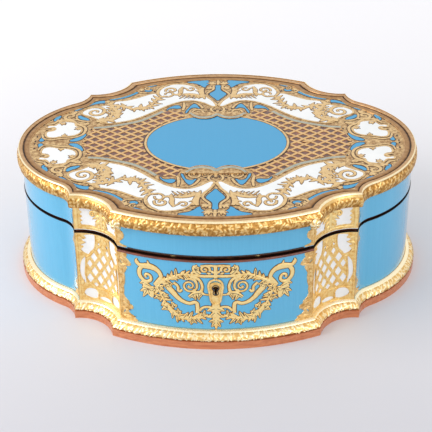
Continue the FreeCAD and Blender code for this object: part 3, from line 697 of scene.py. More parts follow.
piece = scrollwork("front_cartouche_mastic", filled(strokes), on_wall("front"), height=MASTIC)
fit(piece, kerf, "case", "tortoiseshell")
piece = scrollwork("front_cartouche_veins", veins(strokes), lifted(on_wall("front"), VEIN_LIFT),
                   height=MASTIC)
fit(piece, kerf, "case", "tortoiseshell")
dress(front_brass, "escutcheon")
ESCUTCHEON_FACE = 0.95
half_rim = [[(0, 65.4, 1.0), (4.0, 63.6, 1.0), (5.8, 59, 1.0), (5.2, 54, 1.0), (4.4, 48, 0.9), (3.2, 43, 0.8),
             (0, 40.6, 0.8)], rail([(0, 61.4), (2.6, 60.4), (3.8, 57.4)], 0.5)]
piece = scrollwork("escutcheon_rim", mirrored(half_rim), lifted(on_wall("front"), ESCUTCHEON_FACE))
fit(piece, front_brass, "case", "brass")
# A near-black ring round the keyhole and its slot is painted shade of the opening.
hole = [(2.7 * math.cos(a), 57 + 2.7 * math.sin(a), 0.55) for a in np.radians(np.arange(-50, 231, 20))]
piece = scrollwork("keyhole_painted_shade", [hole + [(-1.9, 51, 0.5), (0, 50, 0.5), (1.9, 51, 0.5)]],
                   lifted(on_wall("front"), ESCUTCHEON_FACE), closed=True, height=0.2)
fit(piece, kerf, "case", "tortoiseshell")

# Rim lipping: thin mahogany strips glued over the top edges of the veneer. The front one turns down over the
# panel as a small bead. The strips on the sides and corners, and one inside the front bead, are near black as
# painted shadow in the gap under the lid, and the lid's front edge has a black strip as painted shadow
# against it.
lipping = wood("rim_mahogany", "#5A2C1E", "#8A4A35", 2.0, 0.4)
# Near-black timber for the strips seen in the gap under the lid: painted shadow.
gap_shadow_wood = wood("rim_mahogany_painted_shadow", "#140B08", "#26150E", 2.0, 0.1)
RIM = 83.0
STRIP_STEP = 1.5
FLAT_LIP = [(-2.0, 0.2), (0.45, 0.2), (0.45, -0.2), (0.0, -0.2), (0.0, 0.0), (-2.0, 0.0), (-2.0, 0.2)]
FRONT_LIP = [(-0.4, 0.2), (0.6, 0.2), (0.95, -0.4), (0.95, -1.3), (0.5, -1.7), (0.0, -1.7), (0.0, 0.0),
             (-0.4, 0.0), (-0.4, 0.2)]
SHADOW_LIP = [(-3.0, 0.2), (-0.4, 0.2), (-0.4, 0.0), (-3.0, 0.0), (-3.0, 0.2)]


def strip(stretch, outline, foot):
    """Thin strip along a wall from an outline of reach and height."""
    shares = np.linspace(0, 1, int(length_of(stretch) / STRIP_STEP))
    out, rise = (np.array(column)[:, None] for column in zip(*outline))
    x, y = plan(stretch, shares[None, :], out)
    return x, y, np.broadcast_to(foot + rise, x.shape)


strips = {stretch: (stretch, FLAT_LIP, gap_shadow_wood) for stretch in AROUND if stretch not in ("front", "back")}
strips["front"] = ("front", FRONT_LIP, lipping)
strips["front_dark"] = ("front", SHADOW_LIP, gap_shadow_wood)
for name, (stretch, outline, timber) in strips.items():
    piece = sheet_of("rim_lipping_" + name, np.stack(strip(stretch, outline, RIM), axis=2))
    close_up(piece, SMOOTH_DEG)
    fit(piece, timber, "case", "mahogany")

# Lock, hinges and studs: filed steel works in brass cases let into the walls, and two bright studs on which
# the lid stands. Their CAD solids are right.
bright_brass = brass("turned_brass", "#F2D595", "#DDB468", "#7A5524", 0.95)
steel, tree, shader = finish("filed_steel", Metallic=1.0, Roughness=0.34)
tint(tree, shader, [(0.3, "#8C8C8E"), (0.7, "#B9B9BC")], noise(tree, 0.5, 3.0, stretch=(0.1, 1, 1)))
lock_brass = brass("aged_brass", "#86653A", "#4A3620", "#2A1C0C", 0.9)
dress(lock_brass, "lock_case")
dress(bright_brass, "rim_studs", "lock_cover", "hinge_lower_leaves", "hinge_upper_leaves", "link_plate")
dress(steel, "lock_bolt", "hinge_pins")

# Floor pad and lid lining: thin wadding under silk velvet, glued to the floor and to the underside of the
# board. The nap catches the light at a slant, and the middle stands a little proud of the glued edge.
velvet, tree, shader = finish("silk_velvet", Roughness=0.85, Sheen_Weight=0.6, Sheen_Roughness=0.4)
nap = noise(tree, 1.2, 3.0)
blend = add(tree, "ShaderNodeMath", {"operation": "MULTIPLY_ADD", 1: 0.5}, {0: nap, 2: noise(tree, 60, 1.0)})
tint(tree, shader, [(0.4, "#3C5B80"), (1.0, "#4E7097")], blend.outputs["Value"])
emboss(tree, shader, 0.3, 0.3, nap)

WADDING_PRESSURE = 4.0
SWELL_FRAMES = 20
SWELL_CAP = 2.2 * MM
WADDING_GRID = 4 * MM
DRAWN_IN = 1.5 * MM


def stuffed(name, node, glued):
    """Pad from its CAD solid, drawn in a little, swelled as cloth by its wadding, flat where it is glued."""
    piece = bpy.data.objects.new(name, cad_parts[node].data.copy())
    bpy.context.collection.objects.link(piece)
    alone(piece)
    piece.data.name = name
    bpy.ops.object.mode_set(mode="EDIT")
    bpy.ops.mesh.select_all(action="SELECT")
    bpy.ops.mesh.remove_doubles(threshold=0.01 * MM)
    bpy.ops.mesh.normals_make_consistent(inside=False)
    bpy.ops.object.mode_set(mode="OBJECT")
    solid = corners_of(piece)
    low, high = solid.min(axis=0), solid.max(axis=0)
    piece.modifiers.new("even", "REMESH").voxel_size = WADDING_GRID
    bpy.ops.object.modifier_apply(modifier="even")
    start = corners_of(piece)
    middle = (low + high) / 2
    middle[2] = low[2] if glued == "below" else high[2]
    start = middle + (start - middle) * (1 - 2 * np.array([DRAWN_IN, DRAWN_IN,
                                                           0.5 * DRAWN_IN]) / (high - low))
    piece.data.vertices.foreach_set("co", start.ravel())
    cloth = piece.modifiers.new("wadding", "CLOTH")
    cloth.settings.use_pressure = True
    cloth.settings.uniform_pressure_force = WADDING_PRESSURE
    cloth.settings.effector_weights.gravity = 0
    for step in range(1, SWELL_FRAMES + 1):
        bpy.context.scene.frame_set(step)
    swelled = corners_of(piece.evaluated_get(bpy.context.evaluated_depsgraph_get()))
    piece.modifiers.remove(cloth)
    bpy.context.scene.frame_set(1)
    moved = swelled - start
    far = np.maximum(np.linalg.norm(moved, axis=1, keepdims=True), 1e-9)
    start = start + moved * np.minimum(1, SWELL_CAP / far)
    piece.data.vertices.foreach_set("co", np.clip(start, low, high).ravel())
    piece.modifiers.new("soften", "SUBSURF").levels = 1
    bpy.ops.object.modifier_apply(modifier="soften")
    bpy.ops.object.shade_smooth()
    return piece


for name, node, body, glued in (("floor_cushion", "floor_pad", "case", "below"),
                                ("lid_cushion", "lid_lining", "lid", "above")):
    piece = stuffed(name, node, glued)
    fit(piece, velvet, body, "lining", node)

# Lid moulding: cast gilt bronze in eight mitred lengths round the lid: an arris, a smooth cavetto, and a
# band of leafage below it, with a swirling rosette by each corner of the bows.
HINGE_Y, HINGE_Z = 138.8, 83.25
AJAR = math.radians(-0.62)
LID_FOOT, LID_TOP = 105.0, 119.0
LID_LEAF_PITCH = 7.4
LID_INNER, LID_SLIM = 2.7, 0.45
LEAFY_TO, LEAFY_TO_CORNERS, HIGHLIGHT_FROM = 12.4, 10.4, 12.9
LID_OUTLINE = [(0.0, 1.4), (0.7, 4.4), (2.0, 6.4), (4.2, 7.4), (6.4, 7.65), (8.4, 7.4), (9.8, 6.8),
               (10.6, 6.0), (11.8, 5.2), (12.8, 4.8), (13.6, 4.4), (14.0, 3.2)]


def on_lid(x, y, z):
    """Turn points of the shut lid to where it stands on the studs."""
    dy, dz = y - HINGE_Y, z - HINGE_Z
    return (x, HINGE_Y + dy * math.cos(AJAR) - dz * math.sin(AJAR),
            HINGE_Z + dy * math.sin(AJAR) + dz * math.cos(AJAR))


def lid_carve(smooth_from):
    """Carving of the lid moulding, which is left smooth above a height, with painted shade in the hollows of
    its leafage and a painted highlight along its top band.
    """
    def carve(u, v):
        leafage = foliage(u, v, LID_LEAF_PITCH, smooth_from)
        lip = 0.8 * np.clip(1 - np.abs(v - 0.6) / 0.7, 0, 1)
        relief = np.maximum(np.maximum(leafage, lip), np.clip((v - smooth_from) / 0.4, 0, 1))
        return (1 - relief) * CARVED, np.zeros_like(relief), np.where(v > smooth_from, 0.5
                                                                      + 0.4 * (v > HIGHLIGHT_FROM), 0.12
                                                                      + 0.66 * relief)
    return carve


for stretch in AROUND:
    carve = lid_carve(LEAFY_TO if stretch in sides else LEAFY_TO_CORNERS)
    points, relief = cast_length(stretch, LID_FOOT, LID_TOP, LID_OUTLINE, carve, LID_INNER, LID_SLIM)
    piece = sheet_of("lid_moulding_gilt_" + stretch, np.stack(on_lid(*np.moveaxis(points, 2, 0)), axis=2))
    note(piece, "relief", relief)
    close_up(piece, SMOOTH_DEG)
    fit(piece, gilt, "lid", "gilt_bronze",
        "lid_moulding_" + (stretch if stretch in sides else "corners"))

ROSETTE = 5.2
ROSETTE_OUT, ROSETTE_UP = 6.0, 108.6
SWIRLS, SWIRL_TWIST = 5, 3.2
ROSETTE_FLATNESS, ROSETTE_TURN = 0.62, 0.4
ROSETTE_SHARES = (0.035, 0.965)
for stretch in ("front", "back"):
    for share in ROSETTE_SHARES:
        x, y = plan(stretch, np.array(share), np.array(ROSETTE_OUT))
        bpy.ops.object.select_all(action="DESELECT")
        bpy.ops.mesh.primitive_uv_sphere_add(segments=40, ring_count=20, radius=1.0)
        piece = bpy.context.object
        piece.name = piece.data.name = "rosette_%s_%d" % (stretch, round(share))
        ball = corners_of(piece)
        around, down = np.arctan2(ball[:, 1], ball[:, 0]), np.arccos(np.clip(ball[:, 2], -1, 1))
        swirl = 0.5 + 0.5 * np.cos(SWIRLS * around + SWIRL_TWIST * down)
        ball = ball * (ROSETTE * (0.86 + 0.14 * swirl))[:, None] * np.array([1, 1, ROSETTE_FLATNESS])
        heading = math.atan2(float(y), ROSETTE_TURN * float(x))
        out, side_x, up = ball[:, 2], ball[:, 0], ball[:, 1]
        spot = np.stack(on_lid(x + out * math.cos(heading) - side_x * math.sin(heading), y
                               + out * math.sin(heading) + side_x * math.cos(heading), ROSETTE_UP + up),
                        axis=1)
        move(piece, spot)
        # Painted shade: the grooves between the swirls are darker than their crowns.
        note(piece, "relief", 0.35 + 0.65 * swirl)
        bpy.ops.object.shade_smooth()
        fit(piece, gilt, "lid", "gilt_bronze")

# Screws: flat-headed brass screws that hold the hinge leaves, the lock's cover and the link plate. They are
# let in nearly flush, so that the lid shuts over them, and each has a filed slot.
HEAD_RADIUS, HEAD_PROUD, SLOT_HALF = 1.7, 0.12, 0.24
HINGE_MIDDLE, SCREW_SPREAD, LEAF_MIDDLE = 38.0, 8.0, 128.4
LID_LEVEL = 83.5
LINK_INSET, COVER_INSET, COVER_FOOT, COVER_HEAD = 9.0, 2.0, 2.2, 3.0


def limits(node):
    """Lowest and highest corner of a CAD node in millimetres."""
    corners = corners_of(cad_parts[node]) / MM
    return corners.min(axis=0), corners.max(axis=0)


cover_low, cover_high = limits("lock_cover")
leaves = [(side * HINGE_MIDDLE + step, LEAF_MIDDLE) for side in (-1, 1)
          for step in (-SCREW_SPREAD, SCREW_SPREAD)]
link = [(side * (cover_high[0] - LINK_INSET), (cover_low[1] + cover_high[1]) / 2) for side in (-1, 1)]
screws = {"case": [(x, y, RIM, "up") for x, y in leaves]
          + [(side * (cover_high[0] - COVER_INSET), cover_high[1], z, "back") for side in (-1, 1)
             for z in (cover_low[2] + COVER_FOOT, RIM - COVER_HEAD)],
          "lid": [(x, y, LID_LEVEL, "down") for x, y in leaves + link]}


def let_in(piece, spot, body):
    """Turn a piece that was made flat to face as its screw does, and put it there."""
    x, y, z = corners_of(piece).T
    turned = {"up": (x, y, z), "down": (x, -y, -z), "back": (-x, z, y)}[spot[3]]
    points = [start + value for start, value in zip(spot, turned)]
    if body == "lid":
        points = on_lid(*points)
    move(piece, np.stack(points, axis=1))
    return piece


def joined(pieces, name):
    """Make one piece of several."""
    bpy.ops.object.select_all(action="DESELECT")
    for piece in pieces:
        piece.select_set(True)
    bpy.context.view_layer.objects.active = pieces[0]
    bpy.ops.object.join()
    pieces[0].name = pieces[0].data.name = name
    return pieces[0]


# The slots are near-black bars laid on the heads: painted shade in the filed slot.
for body, spots in screws.items():
    for part, metal, slot_name in (("heads", bright_brass, "brass"), ("slots", kerf, "tortoiseshell")):
        made = []
        for spot in spots:
            bpy.ops.object.select_all(action="DESELECT")
            if part == "heads":
                bpy.ops.mesh.primitive_cylinder_add(vertices=24, radius=HEAD_RADIUS, depth=2 * HEAD_PROUD)
            else:
                bpy.ops.mesh.primitive_cube_add(size=2.0)
                bar = corners_of(bpy.context.object) * (0.92 * HEAD_RADIUS, SLOT_HALF, 1.25 * HEAD_PROUD)
                bpy.context.object.data.vertices.foreach_set("co", bar.ravel())
            made.append(let_in(bpy.context.object, spot, body))
        fit(joined(made, "screw_%s_%s" % (part, body)), metal, body, slot_name)

# Stud collars: a domed brass collar round each rim stud, the pale dots in the gap under the lid's front edge.
COLLAR_RADIUS, COLLAR_FOOT, COLLAR_FLATNESS, STUD_RADIUS = 3.4, RIM + 0.2, 0.8, 1.5
stud_low, stud_high = limits("rim_studs")
made = []
for middle in (stud_low[0] + STUD_RADIUS, stud_high[0] - STUD_RADIUS):
    bpy.ops.object.select_all(action="DESELECT")
    bpy.ops.mesh.primitive_uv_sphere_add(segments=32, ring_count=16, radius=COLLAR_RADIUS)
    spot = (middle, (stud_low[1] + stud_high[1]) / 2, COLLAR_FOOT)
    dome = corners_of(bpy.context.object) * (1, 1, COLLAR_FLATNESS) + spot
    dome[:, 2] = np.maximum(dome[:, 2], COLLAR_FOOT - 0.1)
    move(bpy.context.object, dome)
    made.append(bpy.context.object)
piece = joined(made, "stud_collars")
bpy.ops.object.shade_smooth_by_angle(angle=math.radians(SMOOTH_DEG))
fit(piece, bright_brass, "case", "brass")

# Lid pilasters and leaf borders: the brass of the case goes on above the gap, with an acanthus leaf hanging
# from the moulding down each hollow and serrated bands at its sides.
LID_EDGE, LID_BAND_TOP = 84.2, 106.6


def lid_wall(stretch, lift):
    """Places flat drawing on a wall of the lid, some way out."""
    wall = on_wall(stretch)
    return lambda s, t, h: on_lid(*wall(s, t, h + lift))


half_hole = [[(6, 88.4), (18.6, 88.4), (19.6, 91), (17.8, 92.4), (19.8, 94.4), (17.6, 96.4), (19.8, 98.4),
              (17.8, 100.4), (20, 102.6), (19.8, 105.6), (10, 105.6), (7.4, 103.6), (9.4, 101.4), (6.6, 99),
              (4.6, 95), (6.4, 93), (5.4, 90.4)]]
outline = oblong(HALF_PILASTER, LID_EDGE, LID_BAND_TOP)
half_leaf = [rail([(22.4, 85), (22.6, 95), (22.4, 106)], 1.3), rail([(0, 86.2), (12, 86.2), (24, 86)], 0.9),
             *[leaf(1, t, turn, long, 1.9) for t, turn,
               long in ((104, -20, 9), (99.6, -32, 9), (95, -45, 8), (90.6, -55, 6))],
             volute((8.4, 99.6), 3.0, 180, -1.2, 1.1)]
stem = [[(0, 106, 2.0), (0, 98, 2.2), (0, 91, 1.8), (0, 86, 0.6)]]
for name in QUARTERS:
    piece = pierced("lid_pilaster_fret_" + name, [outline] + mirrored(half_hole), lid_wall(name, 0), SHEET,
                    BEND_MM)
    fit(piece, front_brass, "lid", "brass")
    piece = scrollwork("lid_pilaster_leaf_" + name, mirrored(half_leaf) + stem,
                       lid_wall(name, SHEET - SCROLLS_SUNK))
    fit(piece, front_brass, "lid", "brass")
LID_LEAFY_EDGE = [(7.6, 84.2), (8.6, 85.4), (3.1, 86.6), (1.6, 88.2), (3.6, 90.2), (5.8, 92.6), (6.2, 95.6),
                  (5.0, 98.2), (2.6, 99.6), (3.8, 101.4), (3.4, 104.6), (3.2, 106.4)]
for stretch in sides:
    end = length_of(stretch) / 2 - CLEAR
    edge = [[(end, LID_LEAFY_EDGE[0][1])] + [(end - s, t) for s, t in LID_LEAFY_EDGE]
            + [(end, LID_LEAFY_EDGE[-1][1])]]
    piece = pierced("lid_leaf_border_" + stretch, mirrored(edge), lid_wall(stretch, 0), SHEET, BEND_MM)
    fit(piece, border_brass, "lid", "brass")

# Black strip along the lid's front edge: painted shadow in the gap under the lid.
LIPPING_HALF, LIPPING_LOW, LIPPING_HIGH = 73.6, 83.6, 84.7
piece = pierced("lid_painted_shadow_strip", [oblong(LIPPING_HALF, LIPPING_LOW, LIPPING_HIGH)], lid_wall("front", 0), 0.3,
                BEND_MM)
fit(piece, kerf, "lid", "tortoiseshell")

# Border of the lid top: a flat brass band let in behind the moulding, with a tan outer strip, a shallow
# groove painted dark as shade, and an engraved inner band.
lid_brass = brass("engraved_brass_lid", "#E8C68E", "#96693A", "#3A2210", 0.72)
border, tree, shader = finish("engraved_brass_border", Metallic=0.8, Roughness=0.34)
BORDER_OUTLINE = [(2.4, 115.8), (2.4, 118.6), (1.4, 118.7), (-1.2, 118.5), (-1.5, 117.8), (-2.4, 117.7),
                  (-2.8, 118.1), (-4.0, 118.3), (-5.4, 118.3), (-6.6, 118.1), (-7.2, 117.8), (-7.3, 116.6),
                  (-7.3, 115.8), (2.4, 115.8)]
# Colour value of each outline point: near black in the groove and on the upright walls as painted shade, the
# strip's and band's own tones elsewhere, brightest at the inner edge.
BORDER_TONE_AND_SHADE = [0.2, 0.85, 0.8, 0.7, 0.1, 0.0, 0.3, 0.5, 0.55, 0.5, 0.9, 0.3, 0.2, 0.2]
depth = add(tree, "ShaderNodeAttribute", {"attribute_name": "relief"}, {})
patches = noise(tree, 4, 5.0)
mottle = add(tree, "ShaderNodeMath", {"operation": "MULTIPLY_ADD", 1: 0.5, 2: -0.25}, {0: patches})
shade_and_mottle = add(tree, "ShaderNodeMath", {"operation": "ADD"},
            {0: depth.outputs["Fac"], 1: mottle.outputs["Value"]})
tint(tree, shader, [(0.0, "#2E1B0E"), (0.25, "#7A5430"), (0.5, "#A67C4E"), (0.8, "#CCA478"),
                    (1.0, "#EBCD9A")], shade_and_mottle.outputs["Value"])
emboss(tree, shader, 0.3, 0.3, patches)
columns = []
for stretch in AROUND:
    shares = np.linspace(0, 1, int(length_of(stretch) / STRIP_STEP))[:-1]
    out = np.array([e for e, z in BORDER_OUTLINE])
    x, y = plan(stretch, shares[None, :], out[:, None])
    columns.append(np.stack([x, y, np.broadcast_to(np.array([z for e, z in BORDER_OUTLINE])[:, None],
                                                   x.shape)], axis=2))
points = np.concatenate(columns + [columns[0][:, :1]], axis=1)
piece = sheet_of("top_border_band", np.stack(on_lid(*np.moveaxis(points, 2, 0)), axis=2))
note(piece, "relief", np.repeat(np.array(BORDER_TONE_AND_SHADE)[:, None], points.shape[1], axis=1))
close_up(piece, 35)
fit(piece, border, "lid", "brass", "top_border")

# Brass ground of the lid top: one sheet over the blue, open for the oval and the trellis. Small pockets of
# blue horn are let into it between the scrolls, with dark mastic in the saw cuts round them.
GROUND = 117.0
OVAL = (64.0, 52.0)
TRELLIS_EDGE = [(-119, 0), (-117.4, -7), (-114, -15), (-111.4, -25), (-100, -27), (-90, -30), (-80, -33.5),
                (-70, -38.4), (-64, -44), (-57, -51), (-50, -58.4), (-46.6, -61.6), (-40, -63), (-33.6, -62),
                (-31, -56)]
POCKETS = [[(-30, -124.5), (-22, -121), (-17.5, -117.5), (-14, -113), (-12, -112.5), (-11, -116),
            (-8.5, -119.5), (-8, -124), (-9, -128), (-18, -127.6), (-27, -126)],
           [(-47, -62.6), (-44.5, -66), (-41, -67), (-37, -66.4), (-33.8, -68), (-34, -71), (-37, -74),
            (-42, -72), (-46, -67.4)], [(-29, -57), (-26.5, -62), (-24.5, -67), (-20, -68.5), (-16.5, -66.5),
                                        (-17.5, -71), (-19.5, -75.5), (-21.5, -77), (-24.5, -74), (-27, -68),
                                        (-29.5, -61)], [(-133, -62.5), (-128, -64), (-124, -68.6),
                                                        (-117, -74.6), (-110, -78), (-104, -80),
                                                        (-105.5, -84), (-111, -83.4), (-118, -78),
                                                        (-125, -72)], [(-102, -85.5), (-93, -87),
                                                                       (-86, -90.4), (-79, -96.4),
                                                                       (-75, -102.6), (-78, -103),
                                                                       (-84, -97.6), (-91, -92), (-98, -89)],
           [(-70, -104.6), (-66, -103.2), (-62.8, -105), (-63, -108), (-67, -109.2), (-70.2, -108)],
           [(-70.6, -115), (-66, -113.4), (-61, -115.5), (-58.6, -118), (-64, -117.8), (-69.6, -117)],
           [(-149, -42.4), (-146.4, -41.6), (-144.4, -46), (-143, -52.4), (-145.2, -53), (-148.4, -48)],
           [(-157, -2), (-156.6, -8), (-154.6, -12.6), (-152.8, -8), (-154, -2)],
           [(-128, -51.6), (-126, -46.8), (-121, -43.6), (-116.4, -43.2), (-118, -47), (-123, -50.8),
            (-126, -53.4)], [(-130.4, -2.6), (-126.6, -7.4), (-121.8, -12.6), (-117, -16.4), (-117.6, -10),
                             (-120.6, -4.8), (-124, -2)]]
SHIELD = [(0, -83.6), (3, -87.6), (6.4, -93), (8.2, -98.6), (5.6, -102.6), (3.2, -106), (2.6, -111),
          (2.2, -117)]


def on_top(lift):
    """Places flat drawing on the lid top, some way above its ground."""
    return lambda s, t, h: on_lid(s, t, GROUND + lift + h)


def quarters(lines):
    """Drawing of the front left quarter, turned over into all four."""
    return [[(right * s, back * t, *rest) for s, t, *rest in line]
            for line in lines for right in (1, -1) for back in (1, -1)]


def ends(line):
    """Drawing at the front or left, turned over to the back or right too."""
    return [line, [(-s, -t, *rest) for s, t, *rest in line]]


BRASS_SHEET = 0.3
edge_line = [point for stretch in AROUND
             for point in zip(*plan(stretch, np.linspace(0, 1, 40)[:-1], np.full(39, -6.9)))]
oval_gap = [(OVAL[0] * math.cos(a), OVAL[1] * math.sin(a)) for a in np.radians(np.arange(-118, -61, 4))]
front_side = TRELLIS_EDGE[1:] + oval_gap + [(-s, t) for s, t in TRELLIS_EDGE[:0:-1]]
opening = [TRELLIS_EDGE[0]] + front_side + [(-TRELLIS_EDGE[0][0], 0)] + [(s, -t) for s, t in front_side[::-1]]
shield = SHIELD + [(-s, t) for s, t in SHIELD[:0:-1]]
piece = pierced("top_brass_ground", [edge_line, opening], on_top(0), BRASS_SHEET)
fit(piece, lid_brass, "lid", "brass")
pockets = quarters(POCKETS) + ends(shield)
piece = pierced("top_blue_pockets", [smooth(line) for line in pockets], on_top(BRASS_SHEET), 0.1)
fit(piece, top_blue, "lid", "blue_enamel")
kerfs = [rail(line, KERF + 0.05) for line in pockets]
piece = scrollwork("top_pocket_kerfs", kerfs, on_top(BRASS_SHEET + 0.05), closed=True, height=MASTIC)
fit(piece, kerf, "lid", "tortoiseshell")

# White panels of the lid top: four long scrolled panels and four small ones at the ends, sawn from white
# veneer and let into the brass, each edged with a raised line.
SCROLL_PANEL = [(-106, -39), (-101, -36.4), (-94, -37), (-86, -39.5), (-78, -43.2), (-70, -49), (-62, -56.5),
                (-54, -65), (-46, -73), (-38, -79), (-30, -82.4), (-22, -82.8), (-14, -79), (-8, -73.6),
                (-4.4, -70.8), (-1.8, -71.4), (-2.4, -77.4), (-5.4, -84.4), (-9.6, -90.4), (-13, -97),
                (-17, -103), (-19.6, -109), (-24, -115), (-30, -118.5), (-38, -120), (-44, -119.3),
                (-49, -116.5), (-53, -111.5), (-55.5, -106), (-57.4, -100), (-63, -98.5), (-70, -94),
                (-78, -88.5), (-86, -84.5), (-93, -83), (-99, -80.4), (-102.6, -77), (-106, -73.5),
                (-112, -71), (-118, -68), (-123.5, -63), (-125, -58), (-122.5, -54), (-117, -51), (-113, -48),
                (-109, -44)]
END_PANEL = [(-151, -10), (-146, -8.5), (-138, -11), (-130, -12), (-124.5, -15), (-121.5, -21), (-123, -28),
             (-127.5, -32.5), (-129, -38), (-133, -40), (-141, -40), (-145, -36), (-147, -33), (-152, -32.5),
             (-154, -29.5), (-152, -27.5), (-147, -28.5), (-145.5, -25.5), (-147.5, -22.5), (-152, -21),
             (-153, -15)]
piece = pierced("top_white_panels", [smooth(line) for line in quarters([SCROLL_PANEL, END_PANEL])], on_top(0),
                0.55)
fit(piece, white, "lid", "white_enamel", "white_panels")
EDGING = 1.25
edging = quarters([rail(SCROLL_PANEL, EDGING), rail(END_PANEL, EDGING)])
piece = scrollwork("top_panel_edging", edging, on_top(0.3), closed=True)
fit(piece, lid_brass, "lid", "brass")

# Trellis: a trumpet-shaped field of reddish tortoiseshell at each end of the oval, under a broad brass
# lattice, between ribbons of grey-green horn that are lined in brass.
shell = clouded("tortoiseshell", [(0.3, "#3A180E"), (0.55, "#6E3420"), (0.75, "#9A5A3C")], 6, 4.0,
                Roughness=0.2, Coat_Weight=0.3, Coat_Roughness=0.08)
field = TRELLIS_EDGE + [(-30, -46), (-30, 46)] + [(s, -t) for s, t in TRELLIS_EDGE[:0:-1]]
piece = pierced("trellis_ground", [field, [(-s, t) for s, t in field]], on_top(0), 0.25)
fit(piece, shell, "lid", "tortoiseshell", "trellis_panels")


def trellis_field(s, t):
    """Inside the left field and clear of the oval."""
    inside = np.zeros(len(s), bool)
    loop = np.array(field + field[:1])
    for (ax, ay), (bx, by) in zip(loop[:-1], loop[1:]):
        crosses = (ay > t) != (by > t)
        inside ^= crosses & (s < ax + (bx - ax) * (t - ay) / (by - ay if by != ay else 1))
    return inside & ((s / (OVAL[0] + 1)) ** 2 + (t / (OVAL[1] + 1)) ** 2 > 1)


def lattice(inside, box, step, half):
    """Crossing bars over a box, kept where inside says so."""
    strokes = []
    (s0, t0), (s1, t1) = box
    slope = step[1] / step[0]
    reach = t1 - t0
    for hand in (-1, 1):
        for start in np.arange(s0 - reach / slope, s1 + reach / slope, step[0]):
            t = np.arange(t0, t1, 0.5)
            s = start + hand * (t - (t0 + t1) / 2) / slope
            keep = inside(s, t)
            cuts = np.flatnonzero(np.diff(np.concatenate([[0], keep.astype(int), [0]])))
            for first, last in zip(cuts[::2], cuts[1::2]):
                if last - first > 3:
                    strokes.append([(s[first], t[first], half), (s[last - 1], t[last - 1], half)])
    return strokes


TRELLIS_STEP = (12.5, 10.5)
lattice_brass = brass("engraved_brass_lattice", "#E6BC80", "#A26C3A", "#40200F", 0.62)
bars = lattice(trellis_field, ((-121, -68), (-28, 68)), TRELLIS_STEP, 1.6)
piece = scrollwork("trellis_lattice", mirrored(bars), on_top(0.2), height=0.5)
fit(piece, lattice_brass, "lid", "brass", "trellis_nets")
rosette = spray(-82, 0, 0, 7.5, 2.2,
                (0, 60, 120, 180, 240, 300)) + [[(-84, 0, 1.6), (-82, 0, 2.2), (-80, 0, 1.6)]]
piece = scrollwork("trellis_rosettes", mirrored(rosette), on_top(0.5), height=0.5)
fit(piece, lattice_brass, "lid", "brass")
BROW_SHEET = 1.1
RIBBON = [(-111, -28.2), (-100, -29.6), (-90, -33), (-80, -36.8), (-70, -41.8), (-62, -48.6), (-55, -55.6),
          (-50.6, -60.6)]
grey = clouded("grey_green_horn", [(0.3, "#8E968C"), (0.7, "#B5B5A2")], 5, 3.0, Roughness=0.15, IOR=1.5,
               Coat_Weight=0.3, Coat_Roughness=0.05)
brow = [(-25, -56.4), (-20.6, -50.4), (-12.4, -47.4), (-5, -49.4), (0, -54)]
plate = [(-26.4, -58), (-26, -53.4), (-21.4, -48.4), (-12.6, -45.4), (-4.4, -47.2), (0, -51.6), (4.4, -47.2),
         (12.6, -45.4), (21.4, -48.4), (26, -53.4), (26.4, -58), (0, -59)]
piece = pierced("top_brow_plates", ends(plate), on_top(0), BROW_SHEET)
fit(piece, lid_brass, "lid", "brass")
piece = scrollwork("trellis_ribbons", quarters([rail(RIBBON, 2.0)]), on_top(0.25), height=0.35)
fit(piece, grey, "lid", "blue_enamel")
piece = scrollwork("top_brow_ribbons", quarters([rail(brow, 1.9)]), on_top(BROW_SHEET - 0.1), height=0.3)
fit(piece, grey, "lid", "blue_enamel")
lines = [[(s + 0.8, t + 2.2, 0.7) for s, t in RIBBON], [(s - 0.8, t - 2.2, 0.8) for s, t in RIBBON],
         [(s, t + 2.6, 0.8) for s, t in brow], [(s, t - 2.8, 0.8) for s, t in brow[:-1]]]
piece = scrollwork("trellis_lines", quarters(lines[:2]), on_top(0.3))
fit(piece, lid_brass, "lid", "brass")
piece = scrollwork("top_brow_lines", quarters(lines[2:]), on_top(BROW_SHEET - 0.1))
fit(piece, lid_brass, "lid", "brass")

# Centre oval: a plain plate of blue horn on the ground, in a thin brass frame.
turns = np.linspace(0, 2 * math.pi, 48, endpoint=False)
OVAL_LINE, OVAL_LINE_HALF = (OVAL[0] - 1.2, OVAL[1] + 0.4), 1.3
frame_line = [[(OVAL_LINE[0] * math.cos(t), OVAL_LINE[1] * math.sin(t), OVAL_LINE_HALF) for t in turns]]
piece = scrollwork("oval_frame_line", frame_line, on_top(0.5), closed=True, height=0.4)
fit(piece, lid_brass, "lid", "brass", "oval_frame")
piece = scrollwork("oval_frame_mastic", filled(frame_line), on_top(0.5), closed=True, height=0.2)
fit(piece, kerf, "lid", "tortoiseshell")

